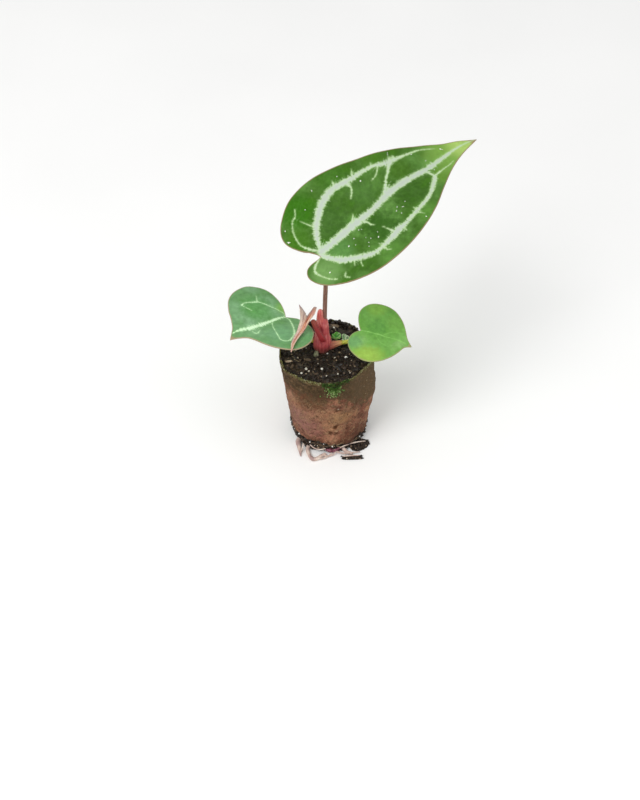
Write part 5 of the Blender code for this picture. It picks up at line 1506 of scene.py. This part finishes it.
strands = []
for _ in range(TOP_FIBRES):
    x, y = top_place(0.9)
    heading = chance.uniform(0, 2 * math.pi)
    knots = []
    for _ in range(5):
        knots.append((x, y, float(soil_level(x, y)) + chance.uniform(0.35, 0.8)))
        heading += chance.uniform(-0.8, 0.8)
        step = chance.uniform(0.6, 1.4)
        x, y = x + step * math.cos(heading), y + step * math.sin(heading)
        if math.hypot(x - PLUG_LEAN, y) > TOP_REACH:
            break
    if len(knots) > 2:
        strands.append(thread(knots))
for _ in range(FOOT_FIBRES):
    angle = chance.uniform(-180.0, 180.0)
    height = chance.uniform(3.4, 5.0)
    knots = []
    for _ in range(5):
        knots.append(tuple(plug_wall(height, angle, chance.uniform(-0.15, 0.15))))
        angle += chance.uniform(1.5, 5.0)
        height = min(5.4, max(1.2, height + chance.uniform(-0.7, 0.5)))
    strands.append(thread(knots))
bpy.ops.object.select_all(action="DESELECT")
for strand in strands:
    strand.select_set(True)
bpy.context.view_layer.objects.active = strands[0]
bpy.ops.object.convert(target="MESH")
fibre_threads = join(strands, "fibre_threads")

# Coir and paper fibre: dry, pale straw to brown
straw_fibre, add = new_material("coir_and_paper_fibre")
spot = add("TexCoord").outputs["Object"]
blotch = add("TexNoise", {"Vector": spot, "Scale": per_metre(5.56), "Detail": 2.0})
tone = add("ValToRGB", {0: blotch}, [(0.35, "#543f30"), (0.5, "#836b52"), (0.65, "#b39d7c")])
shader = add("BsdfPrincipled", {"Base Color": tone, "Roughness": 0.8, "IOR": 1.45})
add("OutputMaterial", {"Surface": shader})
fibre_threads.data.materials.append(straw_fibre)
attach(fibre_threads, "root")


# Studio
# A pale matt table top, an even white surround and two large soft lights, the stronger one from the upper
# left in front. The camera looks down on the plant at 46 degrees.
TABLE_RADIUS = 3.0
CAMERA_PLACE = (-0.00413, -0.45962, 0.49185)
CAMERA_TILT = 44.0
LENS = 67.5
SENSOR = 36.0
SURROUND_STRENGTH = 0.70
# Each light's name, place, size in metres and power in watts
LIGHTS = [("key_light", (-0.45, -0.45, 0.85), 0.6, 5.4), ("fill_light", (0.65, -0.25, 0.60), 0.7, 1.0)]
LIGHT_AIM = Vector((0.0, 0.0, 0.05))

bpy.ops.object.select_all(action="DESELECT")
bpy.ops.mesh.primitive_circle_add(vertices=96, radius=TABLE_RADIUS, fill_type="NGON",
                                  location=(0.0, 0.0, -0.1 * MM))
table_top = bpy.context.object
table_top.name = "table_top"
matt_white, add = new_material("matt_white_laminate")
cloud = add("TexNoise", {"Vector": add("TexCoord").outputs["Object"], "Scale": per_metre(125.0)})
tone = add("ValToRGB", {0: cloud}, [(0.3, "#f7f7f6"), (0.7, "#fbfbfa")])
shader = add("BsdfPrincipled", {"Base Color": tone, "Roughness": 0.7, "IOR": 1.45})
add("OutputMaterial", {"Surface": shader})
table_top.data.materials.append(matt_white)

world = bpy.data.worlds.new("white_surround")
world.use_nodes = True
world.node_tree.nodes["Background"].inputs["Color"].default_value = (1.0, 1.0, 1.0, 1.0)
world.node_tree.nodes["Background"].inputs["Strength"].default_value = SURROUND_STRENGTH
bpy.context.scene.world = world
for name, place, size, energy in LIGHTS:
    lamp = bpy.data.lights.new(name, "AREA")
    lamp.shape = "DISK"
    lamp.size = size
    lamp.energy = energy
    light = bpy.data.objects.new(name, lamp)
    light.location = place
    light.rotation_euler = (LIGHT_AIM - light.location).to_track_quat("-Z", "Y").to_euler()
    bpy.context.scene.collection.objects.link(light)

lens = bpy.data.cameras.new("camera")
lens.lens = LENS
lens.sensor_fit = "VERTICAL"
lens.sensor_height = SENSOR
camera = bpy.data.objects.new("camera", lens)
camera.location = CAMERA_PLACE
camera.rotation_euler = (math.radians(CAMERA_TILT), 0.0, 0.0)
bpy.context.scene.collection.objects.link(camera)
bpy.context.scene.camera = camera
bpy.context.scene.view_settings.view_transform = "Standard"
